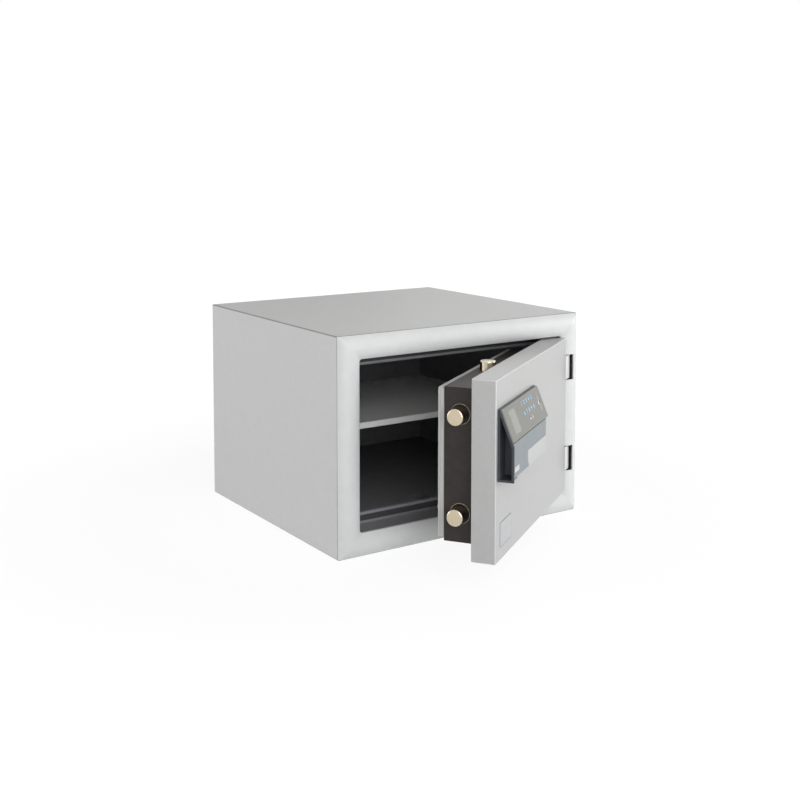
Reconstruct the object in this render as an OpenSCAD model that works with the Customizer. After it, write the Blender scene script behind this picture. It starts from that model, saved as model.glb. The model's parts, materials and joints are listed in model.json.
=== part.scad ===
/* [Cabinet] */
// Width of the cabinet
cabinet_w = 485; // [470:1:620]
// Depth of the steel cabinet behind the front frame
cabinet_d = 444; // [360:1:600]
// Height of the cabinet
cabinet_h = 350; // [346:1:480]
// Thickness of the outer steel sheet
sheet_t = 1.5; // [1:0.1:2]
// Radius of the long outer edges
edge_r = 3; // [2.2:0.1:6]
// Insulated wall at the left and right
side_wall = 56; // [50:1:60]
// Insulated wall above and below
floor_wall = 56; // [50:1:58]
// Insulated wall at the back
back_wall = 45; // [35:1:80]
// How deep the back panel is set in
back_recess = 8; // [5:1:15]

/* [Front frame] */
// Width of the rolled front frame
frame_w = 38; // [34:1:42]
// How far the roll stands in front of the cabinet
frame_rise = 11; // [9:0.5:13]
// How far the inner edge of the roll stands in front of the cabinet
frame_lip = 5; // [3:0.5:6]
// Sheet thickness of the front frame
frame_t = 2; // [1.5:0.1:2.5]
// Corner radius of the door opening
opening_r = 3; // [2:0.5:6]

/* [Door jamb and liner] */
// Depth of the rebate that the door slab closes into
rebate_d = 42; // [41:0.5:46]
// Thickness of the stop step at the back of the rebate
step_t = 6.5; // [5:0.1:6.5]
// Wall thickness of the jamb
jamb_t = 3; // [2:0.5:4]
// Wall thickness of the inner liner
liner_t = 3; // [2:0.5:4]
// Width of the fire seal in the step
seal_w = 9; // [6:0.5:11]
// Thickness of the fire seal
seal_t = 3; // [2:0.1:3.5]
// How far the fire seal is sunk into the step
seal_sunk = 1.5; // [1:0.1:2]

/* [Shelf] */
// Thickness of the shelf
shelf_t = 10; // [6:0.5:16]
// Height of the top of the shelf above the floor of the compartment
shelf_up = 126; // [90:1:190]
// Depth from the front of the cabinet to the front edge of the shelf
shelf_front = 105; // [100:1:200]
// Sheet thickness of the shelf
shelf_sheet = 1.2; // [0.8:0.1:2]
// Gap between the shelf and the walls of the compartment
shelf_gap = 0.3; // [0.2:0.05:0.8]
// Width of a shelf bracket
bracket_w = 14; // [10:1:25]
// Thickness of a shelf bracket
bracket_t = 2; // [1.5:0.1:3]
// Length of a shelf bracket, front to back
bracket_l = 40; // [20:1:90]

/* [Door slab] */
// Gap between the door slab and the frame
door_gap = 3; // [2:0.1:4]
// Thickness of the door slab
door_t = 37; // [34:0.5:38]
// Edge radius of the door slab
door_r = 2.5; // [2:0.1:4]
// Sheet thickness of the door skin
skin_t = 1.5; // [1:0.1:2]
// Thickness of the inner plate of the door
plate_t = 2; // [1.5:0.1:3]
// Opening angle at rest, as photographed
door_open = 34.5; // [15:0.5:90]

/* [Hinges] */
// Distance from the cabinet side to the hinge axis
hinge_inset = 24; // [23:0.5:25]
// Depth of the hinge axis behind the front edge of the cabinet
hinge_back = 3; // [2:0.5:4]
// Distance between the two hinges
hinge_span = 160; // [110:1:200]
// Height of hinges and bolts above the middle of the cabinet
works_rise = 2; // [-6:0.5:6]
// Radius of the hinge knuckles
knuckle_r = 9.5; // [8.5:0.1:9.8]
// Height of a hinge cut-out in the frame
cutout_h = 44; // [36:1:56]
// Gap above and below a knuckle
knuckle_gap = 1.5; // [1.2:0.1:3]
// Gap between a knuckle and the right side of its cut-out
knuckle_side_gap = 1; // [0.6:0.1:1.5]
// Thickness of a hinge arm
arm_t = 8; // [6:0.5:10]
// Length of a hinge arm inside the door slab
tongue_l = 26; // [15:1:40]
// Radius of the hinge pins
pin_r = 3.5; // [3:0.1:4]
// Wall thickness of the hinge bushes
bush_t = 1.5; // [1:0.1:2]
// Length of a hinge bush
bush_l = 12; // [8:1:15]
// Thickness of the end plates of a hinge pocket
pocket_plate = 3; // [2:0.5:5]
// Thickness of the side and back of a hinge pocket
pocket_t = 1.5; // [1:0.1:2.5]
// Running clearance of pins, shafts and bolts, on the radius
run_gap = 0.05; // [0.02:0.01:0.09]

/* [Boltwork case] */
// Distance from the edge of the door slab to the side of the case
case_inset = 24; // [23:0.5:30]
// Distance from the top and bottom of the slab to the case
case_rise = 19; // [19:0.5:26]
// Depth of the case behind the slab
case_d = 50; // [46:0.5:52]
// Sheet thickness of the case
case_t = 1.5; // [1:0.1:2]
// Depth of the pale back cover
cover_d = 10; // [8:0.5:14]
// How much smaller the back cover is than the case, each side
cover_in = 2; // [1:0.5:4]
// Corner radius of the back cover
cover_r = 4; // [2.5:0.5:6]
// Depth of the line round the edge of the back cover
cover_line = 0.8; // [0.4:0.1:1.2]
// Head radius of the cover screws
screw_r = 4.5; // [3.5:0.5:6]
// Head height of the cover screws
screw_h = 3.5; // [2:0.5:4.5]
// Shank radius of the cover screws
shank_r = 2; // [1.5:0.1:2.5]
// Distance from the edge of the back cover to its screws
screw_in = 7; // [6:0.5:15]
// Distance between the upper and lower cover screws
screw_span = 138; // [100:1:200]

/* [Bolts] */
// Radius of the bolts
bolt_r = 12.5; // [9:0.5:12.5]
// Chamfer on the ends of the bolts
bolt_chamfer = 1; // [0.5:0.1:3]
// Length of the thick part of a side bolt
side_bolt_l = 64.5; // [56:0.5:75]
// Length of the thick part of the top and bottom bolts
end_bolt_l = 60; // [50:0.5:64]
// Radius of the neck behind a bolt
neck_r = 6; // [4:0.5:8]
// Distance from the slab to the bolt axes
bolt_back = 25; // [24.5:0.1:26]
// Distance between the two side bolts
bolt_span = 147.4; // [110:0.1:170]
// Distance from the closing edge of the slab to the top and bottom bolts
end_bolt_in = 154; // [145:1:200]
// How far the side bolts reach past the closing edge of the slab
side_reach = 1.5; // [0:0.1:2.5]
// How far the top bolt stands above its case
end_reach = 18; // [12:0.5:19]
// Travel of the bolts
bolt_travel = 22; // [21:0.5:23]
// Clearance round the bolts in the keeper pockets
keeper_gap = 2; // [1.5:0.1:3]
// Wall thickness of the keeper pockets
keeper_t = 1.5; // [1:0.1:2.5]
// Flange radius of the bolt rings
ring_r = 15; // [14:0.5:17]
// Flange thickness of the bolt rings
ring_t = 2; // [1:0.5:3]
// Wall thickness of the bolt rings inside the case
ring_wall = 1.5; // [1:0.1:2]
// Length of the bolt rings inside the case
ring_l = 14; // [6:1:20]

/* [Drive] */
// Number of teeth on the drive gear
gear_teeth = 20; // [18:1:22]
// Module of the gear and racks
gear_module = 2; // [1.8:0.1:2.1]
// Pressure angle of the teeth
pressure = 20; // [18:1:22]
// Play between meshing teeth
backlash = 0.3; // [0.2:0.05:0.5]
// Thickness of the bars that carry the racks
rack_bar = 9; // [6:0.5:11]
// Width of a rack, front to back
rack_w = 6.5; // [5:0.5:7]
// Distance between the two rack layers
layer_gap = 2; // [1:0.1:3]
// Thickness of the plates that carry the bolts
carrier_t = 6; // [4:0.5:8]
// Width of the plates that carry the bolts, front to back
carrier_w = 24; // [20:1:26]
// Thickness of the nuts on the side bolts
nut_t = 8; // [5:0.5:10]
// Radius of the nuts across their corners
nut_r = 10.5; // [9.5:0.5:12]
// Radius of the drive shaft
shaft_r = 4; // [3:0.5:5]
// Radius of the gear hub
hub_r = 9; // [7:0.5:11]
// Radius of the gearbox on the motor
gearbox_r = 18; // [15:0.5:22]
// Thickness of the gearbox
gearbox_t = 10; // [8:0.5:12]
// Radius of the motor
motor_r = 13; // [10:0.5:16]
// Length of the motor in the door slab
motor_l = 24; // [15:1:26]
// Thickness of a rack guide
guide_t = 8; // [5:0.5:10]
// Sliding gap between a rack and its guide
guide_gap = 0.3; // [0.2:0.05:0.6]

/* [Lock unit] */
// Distance from the closing edge of the slab to the lock unit
lock_in = 6; // [4:1:40]
// Height of the bottom of the lock unit above the bottom of the slab
lock_up = 120.6; // [100:0.1:130]
// Height of the upright front of the lock unit
lock_front_h = 58.4; // [50:0.1:70]
// Height of the inclined top of the lock unit
lock_top_h = 46.6; // [38:0.1:55]
// How far the upright front stands out of the door
lock_depth = 24.6; // [22:0.1:30]
// How far the top of the panel stands out of the door
lock_top_depth = 6.2; // [5:0.1:9]
// Width of the touch panel
panel_w = 185.5; // [170:0.5:200]
// Thickness of the touch panel
panel_t = 2.5; // [2:0.1:3]
// Wall thickness of the lock housing
lock_wall = 3.5; // [2.5:0.1:3.5]
// Depth of the finger recess
grip_d = 28; // [20:1:40]
// Width of the frame round the finger recess
grip_rim = 4; // [3:0.5:8]
// How much lower the finger recess reaches than the covers
grip_drop = 4.7; // [2:0.1:8]
// How far the lower covers are set back behind the recess frame
cover_back = 1.6; // [0.5:0.1:3]
// Thickness of the lower covers
lower_t = 2.5; // [2:0.1:3]
// How far the touch panel reaches past the lower covers at the right
panel_over = 6.5; // [2:0.5:12]
// Gap between the touch panel and the lower cover
panel_drop = 2.6; // [1:0.1:4]
// Height of the pale lower plate
pale_h = 24.6; // [18:0.1:30]
// Distance from the left of the lock unit to the round side of the pale plate
pale_in = 79; // [60:1:100]
// Radius of the round side of the pale plate
pale_r = 24; // [14:1:30]
// Gap between the two lower covers
cover_gap = 0.3; // [0.2:0.05:0.6]
// Width of the display window
window_w = 28; // [20:1:40]
// Height of the display window along the panel
window_h = 35.5; // [25:0.5:38]
// Distance from the left of the panel to the display window
window_in = 21; // [8:1:40]
// Distance from the lower edge of the panel to the display window
window_up = 7.5; // [4:0.5:10]
// Thickness of the display window and the finger sensor
inlay_t = 1; // [0.5:0.1:1.5]
// Width of the finger sensor
sensor_w = 10; // [8:0.5:16]
// Height of the finger sensor along the panel
sensor_h = 32; // [24:0.5:36]
// Distance from the right of the panel to the middle of the finger sensor
sensor_in = 17; // [10:0.5:40]
// Distance from the lower edge of the panel to the middle of the finger sensor
sensor_up = 26; // [22:0.5:28]
// Radius of the battery cells
cell_r = 7; // [5:0.5:7]
// Length of a battery cell
cell_l = 50; // [40:0.5:51]
// Wall thickness of the battery holder
holder_t = 1; // [0.8:0.1:1.5]
// Thickness of the control board
board_t = 1.6; // [1:0.1:2]
// Margin between the control board and the sides of its bay
board_gap = 1; // [0.5:0.5:4]
// Depth of the bay behind the touch panel
board_bay = 4; // [3:0.5:5]

/* [Hidden] */
$fn = 64;
// A little more than nothing, for cuts that run past a face
over = 1;

half_w = cabinet_w / 2;
front_y = -cabinet_d / 2;
mid_z = cabinet_h / 2;
works_z = mid_z + works_rise;
opening_w = cabinet_w - 2 * frame_w;
opening_h = cabinet_h - 2 * frame_w;

// Depths below are counted from the front edge of the steel cabinet, backwards
face_y = -frame_lip;
step_y = face_y + rebate_d;
liner_y = step_y + step_t;
back_y = cabinet_d - back_wall;
jamb_front = face_y + 2 * frame_t;
flange_end = 12;

inner_w = cabinet_w - 2 * side_wall;
inner_h = cabinet_h - 2 * floor_wall;
shelf_z = floor_wall + shelf_up;

slab_w = opening_w - 2 * door_gap;
slab_h = opening_h - 2 * door_gap;
slab_left = -slab_w / 2;
slab_right = slab_w / 2;
slab_low = mid_z - slab_h / 2;
slab_top = mid_z + slab_h / 2;
slab_back = face_y + door_t;

hinge_x = half_w - hinge_inset;
hinge_reach = hinge_x - slab_right;
hinge_out = hinge_back - face_y;
hinge_zs = [works_z - hinge_span / 2, works_z + hinge_span / 2];
knuckle_h = cutout_h - 2 * knuckle_gap;
cutout_x = hinge_x + knuckle_r + knuckle_side_gap;
pocket_back = hinge_back + knuckle_r + knuckle_side_gap;
// How far the hinge pockets stand behind the inner edge of the frame
pocket_back_set = 1;
pocket_front = face_y + pocket_back_set;
pocket_left = half_w - frame_w + jamb_t;
// How far the flat front of a hinge arm dips into the round of its knuckle
arm_crease = 0.5;
// Play between the flange of a hinge bush and its pocket
bush_play = 0.3;
bush_flange = knuckle_gap - bush_play;
bush_r = pin_r + run_gap + bush_t;

case_left = slab_left + case_inset;
case_right = slab_right - case_inset;
case_low = slab_low + case_rise;
case_top = slab_top - case_rise;
case_back = slab_back + case_d;
cover_y = case_back + cover_d;

bolt_y = slab_back + bolt_back;
side_bolt_zs = [works_z - bolt_span / 2, works_z + bolt_span / 2];
side_tip = slab_left - side_reach;
end_bolt_x = slab_left + end_bolt_in;
top_tip = case_top + end_reach;
bottom_tip = case_low - end_reach;
carrier_x = side_tip + side_bolt_l;

tooth_pitch = PI * gear_module;
pitch_r = gear_module * gear_teeth / 2;
addendum = 0.9 * gear_module;
dedendum = 1.2 * gear_module;
gear_z = mid_z;
layer_1 = bolt_y - layer_gap / 2 - rack_w;
layer_2 = bolt_y + layer_gap / 2;
gear_front = layer_1 - layer_gap / 2;
gear_len = 2 * rack_w + 2 * layer_gap;
foot_up = top_tip - end_bolt_l;
foot_down = bottom_tip + end_bolt_l;
foot_w = carrier_w;
case_room = case_back - case_t;

lock_x = slab_left + lock_in;
lock_z = slab_low + lock_up;
ridge_z = lock_z + lock_front_h;
panel_angle = atan2(lock_depth - lock_top_depth, lock_top_h);
panel_h = norm([lock_depth - lock_top_depth, lock_top_h]);
body_z = lock_z + grip_drop;
body_depth = lock_depth - cover_back - lower_t;
lower_w = panel_w - panel_over - grip_rim;
lower_h = ridge_z - panel_drop - body_z;

// Centre of the circle through three points
function circle_centre(a, b, c) =
    let (d = 2 * (a.x * (b.y - c.y) + b.x * (c.y - a.y) + c.x * (a.y - b.y)))
    [((a * a) * (b.y - c.y) + (b * b) * (c.y - a.y) + (c * c) * (a.y - b.y)) / d,
     ((a * a) * (c.x - b.x) + (b * b) * (a.x - c.x) + (c * c) * (b.x - a.x)) / d];

// Places things by the front edge of the cabinet
module at_front() {
    translate([0, front_y, 0]) children();
}

// Carries the door parts, drawn closed, to where the open door stands
module on_door() {
    translate([hinge_x, front_y + hinge_back, 0])
        rotate([0, 0, door_open])
            translate([-hinge_x, -hinge_back, 0])
                children();
}

// Pushes an outline drawn in width and height backwards from a depth
module backwards(y, length) {
    translate([0, y + length, 0]) rotate([90, 0, 0]) linear_extrude(length) children();
}

// Pushes an outline drawn in depth and height sideways from the left
module sideways(x, length) {
    translate([x, 0, 0]) rotate([90, 0, 90]) linear_extrude(length) children();
}

// A round bar that runs backwards
module bar_y(r, y, length) {
    translate([0, y, 0]) rotate([-90, 0, 0]) cylinder(r = r, h = length);
}

// A rectangle with round corners, from its lower left corner
module round_rect(size, r) {
    translate([r, 0]) square([size.x - 2 * r, size.y]);
    translate([0, r]) square([size.x, size.y - 2 * r]);
    for (x = [r, size.x - r], y = [r, size.y - r])
        translate([x, y]) circle(r = r);
}

// The same, centred in width and standing at a height
module centred_rect(w, h, r) {
    translate([-w / 2, mid_z - h / 2]) round_rect([w, h], r);
}

// A ring seen from the front, between two rectangles
module front_ring(outer_w, outer_h, outer_r, inner_w, inner_h, inner_r) {
    difference() {
        centred_rect(outer_w, outer_h, outer_r);
        centred_rect(inner_w, inner_h, inner_r);
    }
}

module outer_shell() {
    color([0.77, 0.78, 0.78])
        at_front() backwards(0, cabinet_d)
            front_ring(cabinet_w, cabinet_h, edge_r,
                cabinet_w - 2 * sheet_t, cabinet_h - 2 * sheet_t, edge_r - sheet_t);
}

// A tray set into the shell, with its rim towards the back
module back_panel() {
    w = cabinet_w - 2 * sheet_t;
    h = cabinet_h - 2 * sheet_t;
    r = edge_r - sheet_t;
    color([0.74, 0.75, 0.75])
        at_front() difference() {
            backwards(cabinet_d - back_recess - sheet_t, back_recess + sheet_t)
                centred_rect(w, h, r);
            backwards(cabinet_d - back_recess, back_recess + over)
                centred_rect(w - 2 * sheet_t, h - 2 * sheet_t, r);
        }
}

// Section of the rolled frame: across its width, and forwards out of the cabinet
module roll_section() {
    c = circle_centre([0, 0], [frame_w / 2, frame_rise], [frame_w, frame_lip]);
    r = norm(c);
    difference() {
        intersection() {
            translate(c) circle(r = r, $fn = 128);
            union() {
                square([frame_w, frame_rise + over]);
                translate([sheet_t, -flange_end]) square([frame_t, flange_end + over]);
            }
        }
        difference() {
            translate(c) circle(r = r - frame_t, $fn = 128);
            translate([sheet_t, -flange_end]) square([frame_t, flange_end + frame_rise]);
            translate([frame_w - frame_t, -over]) square([frame_t, frame_rise + over]);
        }
        translate([frame_w - frame_t - over, -over])
            square([frame_t + 2 * over, over + frame_lip - 2 * frame_t]);
    }
}

// One mitred bar of the frame, along the bottom of a frame of the given length
module frame_bar(length) {
    intersection() {
        sideways(0, length) rotate(90) roll_section();
        backwards(-frame_rise - over, frame_rise + flange_end + 2 * over)
            polygon([[0, 0], [length, 0], [length - frame_w, frame_w], [frame_w, frame_w]]);
    }
}

// The space of both hinge cut-outs, back to a given depth
module hinge_cuts(depth) {
    for (z = hinge_zs)
        translate([half_w - frame_w - over, -frame_rise - over, z - cutout_h / 2])
            cube([cutout_x - half_w + frame_w + over, frame_rise + over + depth, cutout_h]);
}

// Outline of the frame, with the shell's corners, and its flange inside the shell
module frame_outside() {
    backwards(-frame_rise - over, frame_rise + over) centred_rect(cabinet_w, cabinet_h, edge_r);
    backwards(-over, flange_end + over)
        centred_rect(cabinet_w - 2 * sheet_t, cabinet_h - 2 * sheet_t, edge_r - sheet_t);
}

module front_frame() {
    color([0.89, 0.89, 0.89])
        at_front() difference() {
            intersection() {
                union() {
                    translate([-half_w, 0, 0]) frame_bar(cabinet_w);
                    translate([half_w, 0, cabinet_h]) rotate([0, 180, 0]) frame_bar(cabinet_w);
                    translate([-half_w, 0, cabinet_h]) rotate([0, 90, 0]) frame_bar(cabinet_h);
                    translate([half_w, 0, 0]) rotate([0, -90, 0]) frame_bar(cabinet_h);
                }
                frame_outside();
            }
            hinge_cuts(0);
        }
}

module seal_ring(w, r) {
    mid_w = (opening_w + inner_w) / 2;
    mid_h = (opening_h + inner_h) / 2;
    front_ring(mid_w + w, mid_h + w, r + w, mid_w - w, mid_h - w, r);
}

module door_jamb() {
    color([0.3, 0.3, 0.31])
        at_front() difference() {
            union() {
                backwards(jamb_front, liner_y - jamb_front)
                    front_ring(opening_w + 2 * jamb_t, opening_h + 2 * jamb_t, opening_r + jamb_t,
                        opening_w, opening_h, opening_r);
                backwards(step_y, step_t)
                    front_ring(opening_w + 2 * jamb_t, opening_h + 2 * jamb_t, opening_r + jamb_t,
                        inner_w, inner_h, opening_r);
            }
            backwards(step_y - over, seal_sunk + over) seal_ring(seal_w, opening_r);
            hinge_cuts(pocket_back);
        }
}

module fire_seal() {
    color([0.25, 0.25, 0.26])
        at_front() backwards(step_y + seal_sunk - seal_t, seal_t) seal_ring(seal_w, opening_r);
}

// Keeper pockets that the bolts reach into, behind the edge of the door opening:
// grow adds their wall to the space for the bolts
module keeper_boxes(grow) {
    half = bolt_r + keeper_gap + grow;
    deep = bolt_y + half - liner_y;
    outside = frame_w - keeper_gap - grow;
    side_l = side_wall + over - outside;
    end_l = floor_wall + over - outside;
    for (z = side_bolt_zs)
        translate([outside - half_w, liner_y, z - half]) cube([side_l, deep, 2 * half]);
    for (z = [outside, cabinet_h - outside - end_l])
        translate([end_bolt_x - half, liner_y, z]) cube([2 * half, deep, end_l]);
}

module liner_outside() {
    backwards(liner_y, back_y + liner_t - liner_y)
        centred_rect(inner_w + 2 * liner_t, inner_h + 2 * liner_t, opening_r + liner_t);
    keeper_boxes(keeper_t);
}

module inner_liner() {
    color([0.14, 0.14, 0.15])
        at_front() difference() {
            liner_outside();
            backwards(liner_y - over, back_y - liner_y + over)
                centred_rect(inner_w, inner_h, opening_r);
            keeper_boxes(0);
        }
}

module cabinet_fill() {
    w = cabinet_w - 2 * sheet_t;
    h = cabinet_h - 2 * sheet_t;
    color([0.8, 0.78, 0.74])
        at_front() difference() {
            union() {
                backwards(flange_end, cabinet_d - back_recess - sheet_t - flange_end)
                    centred_rect(w, h, edge_r - sheet_t);
                backwards(0, flange_end) centred_rect(w - 2 * frame_t, h - 2 * frame_t, edge_r);
            }
            liner_outside();
            backwards(-over, liner_y + over)
                centred_rect(opening_w + 2 * jamb_t, opening_h + 2 * jamb_t, opening_r + jamb_t);
            for (z = hinge_zs) pocket_space(z);
        }
}

// Everything that one hinge pocket takes up in the insulation
module pocket_space(z) {
    h = cutout_h + 2 * pocket_plate;
    translate([pocket_left - over, -over, z - h / 2])
        cube([cutout_x + pocket_t - pocket_left + over, pocket_back + pocket_t + over, h]);
}

module hinge_pockets() {
    h = cutout_h + 2 * pocket_plate;
    color([0.12, 0.12, 0.13])
        at_front() for (z = hinge_zs)
            difference() {
                translate([pocket_left, pocket_front, z - h / 2])
                    cube([cutout_x + pocket_t - pocket_left,
                        pocket_back + pocket_t - pocket_front, h]);
                translate([pocket_left - over, pocket_front - over, z - cutout_h / 2])
                    cube([cutout_x - pocket_left + over, pocket_back - pocket_front + over, cutout_h]);
                translate([hinge_x, hinge_back, z - h / 2 - over]) cylinder(r = pin_r, h = h + 2 * over);
            }
}

module hinge_pins() {
    h = cutout_h + 2 * pocket_plate;
    color([0.6, 0.6, 0.6])
        at_front() for (z = hinge_zs)
            translate([hinge_x, hinge_back, z - h / 2]) cylinder(r = pin_r, h = h);
}

// A folded tray, open below, with its rims at the front and the back
module shelf() {
    depth = back_y - shelf_front;
    color([0.9, 0.9, 0.89])
        at_front() translate([0, shelf_front, shelf_z - shelf_t]) difference() {
            translate([-inner_w / 2 + shelf_gap, 0, 0])
                cube([inner_w - 2 * shelf_gap, depth - shelf_gap, shelf_t]);
            translate([-inner_w / 2, shelf_sheet, -over])
                cube([inner_w, depth - 2 * shelf_sheet - shelf_gap, shelf_t - shelf_sheet + over]);
        }
}

// Four angles on the liner that the shelf rests on
module shelf_brackets() {
    rest_z = shelf_z - shelf_sheet;
    places = [shelf_front + 2 * shelf_t, back_y - 2 * shelf_t - bracket_l];
    color([0.2, 0.2, 0.21])
        at_front() for (side = [-1, 1], y = places)
            translate([side * inner_w / 2, y, rest_z])
                mirror([side > 0 ? 1 : 0, 0, 0]) {
                    translate([0, 0, -bracket_t]) cube([bracket_w, bracket_l, bracket_t]);
                    translate([0, 0, -bracket_w]) cube([bracket_t, bracket_l, bracket_w]);
                }
}

// The door slab as a solid, with rounded edges
module slab_solid() {
    intersection() {
        backwards(face_y, door_t) centred_rect(slab_w, slab_h, door_r);
        translate([0, 0, slab_low]) linear_extrude(slab_h)
            translate([slab_left, face_y]) round_rect([slab_w, door_t + door_r], door_r);
        sideways(slab_left, slab_w)
            translate([face_y, slab_low]) round_rect([door_t + door_r, slab_h], door_r);
    }
}

// The space inside the door skin
module slab_inside() {
    backwards(face_y + skin_t, door_t - skin_t + over)
        centred_rect(slab_w - 2 * skin_t, slab_h - 2 * skin_t, door_r - skin_t / 2);
}

module door_skin() {
    color([0.81, 0.81, 0.82])
        on_door() difference() {
            slab_solid();
            slab_inside();
            for (z = hinge_zs) tongue(z, 0);
        }
}

module door_fill() {
    color([0.8, 0.78, 0.74])
        on_door() difference() {
            intersection() {
                slab_inside();
                backwards(face_y, door_t - plate_t) centred_rect(slab_w, slab_h, door_r);
            }
            for (z = hinge_zs) tongue(z, over);
            translate([end_bolt_x, 0, gear_z]) bar_y(motor_r, slab_back - motor_l, motor_l + over);
        }
}

module inner_plate() {
    color([0.66, 0.66, 0.67])
        on_door() difference() {
            intersection() {
                slab_inside();
                backwards(slab_back - plate_t, plate_t) centred_rect(slab_w, slab_h, door_r);
            }
            translate([end_bolt_x, 0, gear_z])
                bar_y(motor_r, slab_back - plate_t - over, plate_t + 2 * over);
        }
}

// The part of a hinge arm that reaches into the door slab
module tongue(z, longer) {
    translate([slab_right - tongue_l, face_y + skin_t, z - knuckle_h / 2])
        cube([tongue_l + longer, arm_t - skin_t, knuckle_h]);
}

// Section of a hinge arm outside the slab, about the hinge axis
module arm_section() {
    corner = [-hinge_reach, -hinge_out];
    meet_r = knuckle_r - arm_crease;
    turn = atan2(corner.y, corner.x) + acos(meet_r / norm(corner));
    circle(r = knuckle_r);
    polygon([corner, meet_r * [cos(turn), sin(turn)], [0, 0], [-hinge_reach, arm_t - hinge_out]]);
}

module hinge_arms() {
    color([0.83, 0.83, 0.84])
        on_door() for (z = hinge_zs)
            difference() {
                union() {
                    translate([hinge_x, hinge_back, z - knuckle_h / 2])
                        linear_extrude(knuckle_h) arm_section();
                    tongue(z, 0);
                }
                translate([hinge_x, hinge_back, z - knuckle_h / 2 - over])
                    cylinder(r = bush_r, h = knuckle_h + 2 * over);
            }
}

module hinge_bushes() {
    color([0.72, 0.6, 0.35])
        on_door() for (z = hinge_zs, end = [0, 1])
            translate([hinge_x, hinge_back, z]) mirror([0, 0, end])
                difference() {
                    union() {
                        translate([0, 0, knuckle_h / 2 - bush_l]) cylinder(r = bush_r, h = bush_l);
                        translate([0, 0, knuckle_h / 2]) cylinder(r = bush_r + bush_t, h = bush_flange);
                    }
                    translate([0, 0, knuckle_h / 2 - bush_l - over])
                        cylinder(r = pin_r + run_gap, h = bush_l + bush_flange + 2 * over);
                }
}

// Holes of the bolt rings in the walls of the case
module ring_holes() {
    r = bolt_r + run_gap + ring_wall;
    for (z = side_bolt_zs)
        translate([case_left - over, bolt_y, z]) rotate([0, 90, 0]) cylinder(r = r, h = case_t + 2 * over);
    for (z = [case_low - over, case_top - case_t - over])
        translate([end_bolt_x, bolt_y, z]) cylinder(r = r, h = case_t + 2 * over);
}

module boltwork_case() {
    w = case_right - case_left;
    h = case_top - case_low;
    color([0.2, 0.19, 0.19])
        on_door() difference() {
            translate([case_left, slab_back, case_low]) cube([w, case_d, h]);
            translate([case_left + case_t, slab_back - over, case_low + case_t])
                cube([w - 2 * case_t, case_d - case_t + over, h - 2 * case_t]);
            ring_holes();
            translate([end_bolt_x, 0, gear_z])
                bar_y(shaft_r + run_gap + bush_t, case_room - over, case_t + 2 * over);
            screw_shanks(case_room - over);
        }
}

// Outline of the back cover
module cover_outline(inset) {
    w = case_right - case_left - 2 * cover_in - 2 * inset;
    h = case_top - case_low - 2 * cover_in - 2 * inset;
    centred_rect(w, h, cover_r);
}

module cover_screw_places() {
    x = (case_right - case_left) / 2 - cover_in - screw_in;
    for (side = [-1, 1], up = [-1, 1])
        translate([side * x, 0, works_z + up * screw_span / 2]) children();
}

module screw_shanks(y) {
    cover_screw_places() bar_y(shank_r, y, cover_y - y + over);
}

// A pressed tray that closes the boltwork case, with a line round its edge
module back_cover() {
    line_y = cover_y - cover_d / 3;
    color([0.78, 0.79, 0.77])
        on_door() difference() {
            backwards(case_back, cover_d) cover_outline(0);
            backwards(case_back - over, cover_d - 2 * case_t + over) difference() {
                cover_outline(4 * case_t);
                cover_screw_places_flat();
            }
            difference() {
                backwards(line_y, cover_line) cover_outline(-over);
                backwards(line_y - over, cover_line + 2 * over) cover_outline(cover_line);
            }
            screw_shanks(case_back - over);
            translate([end_bolt_x, 0, gear_z])
                bar_y(shaft_r + 2 * bush_t, case_back - over, 2 * case_t + over);
        }
}

// Bosses left standing round the cover screws
module cover_screw_places_flat() {
    x = (case_right - case_left) / 2 - cover_in - screw_in;
    for (side = [-1, 1], up = [-1, 1])
        translate([side * x, works_z + up * screw_span / 2]) circle(r = screw_r);
}

// Dome headed screws that hold the back cover on the case
module cover_screws() {
    color([0.82, 0.83, 0.84])
        on_door() cover_screw_places() {
            dome_r = (screw_r * screw_r + screw_h * screw_h) / (2 * screw_h);
            intersection() {
                translate([0, cover_y + screw_h - dome_r, 0]) sphere(r = dome_r);
                bar_y(screw_r + over, cover_y, screw_h + over);
            }
            bar_y(shank_r, case_back - case_t - screw_h, cover_d + case_t + screw_h + over / 2);
        }
}

// One flanged ring: its flange outside the case at the top of the z axis
module bolt_ring() {
    difference() {
        union() {
            cylinder(r = ring_r, h = ring_t);
            translate([0, 0, -ring_l]) cylinder(r = bolt_r + run_gap + ring_wall, h = ring_l + ring_t / 2);
        }
        translate([0, 0, -ring_l - over])
            cylinder(r = bolt_r + run_gap, h = ring_l + ring_t + 2 * over);
    }
}

module bolt_rings() {
    color([0.72, 0.7, 0.66])
        on_door() {
            for (z = side_bolt_zs)
                translate([case_left, bolt_y, z]) rotate([0, -90, 0]) bolt_ring();
            translate([end_bolt_x, bolt_y, case_top]) bolt_ring();
            translate([end_bolt_x, bolt_y, case_low]) mirror([0, 0, 1]) bolt_ring();
        }
}

// A bolt with a chamfered tip at the origin, pointing up, and a neck below
module bolt(length, neck) {
    translate([0, 0, -bolt_chamfer])
        cylinder(r1 = bolt_r, r2 = bolt_r - bolt_chamfer, h = bolt_chamfer);
    translate([0, 0, -length]) cylinder(r = bolt_r, h = length - bolt_chamfer);
    translate([0, 0, -length - neck]) cylinder(r = neck_r, h = neck + over);
}

module side_bolts() {
    color([0.8, 0.75, 0.66])
        on_door() for (z = side_bolt_zs)
            translate([side_tip, bolt_y, z]) rotate([0, -90, 0]) bolt(side_bolt_l, carrier_t + nut_t);
}

module top_bolt() {
    color([0.8, 0.75, 0.66])
        on_door() translate([end_bolt_x, bolt_y, top_tip]) bolt(end_bolt_l, carrier_t);
}

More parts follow.
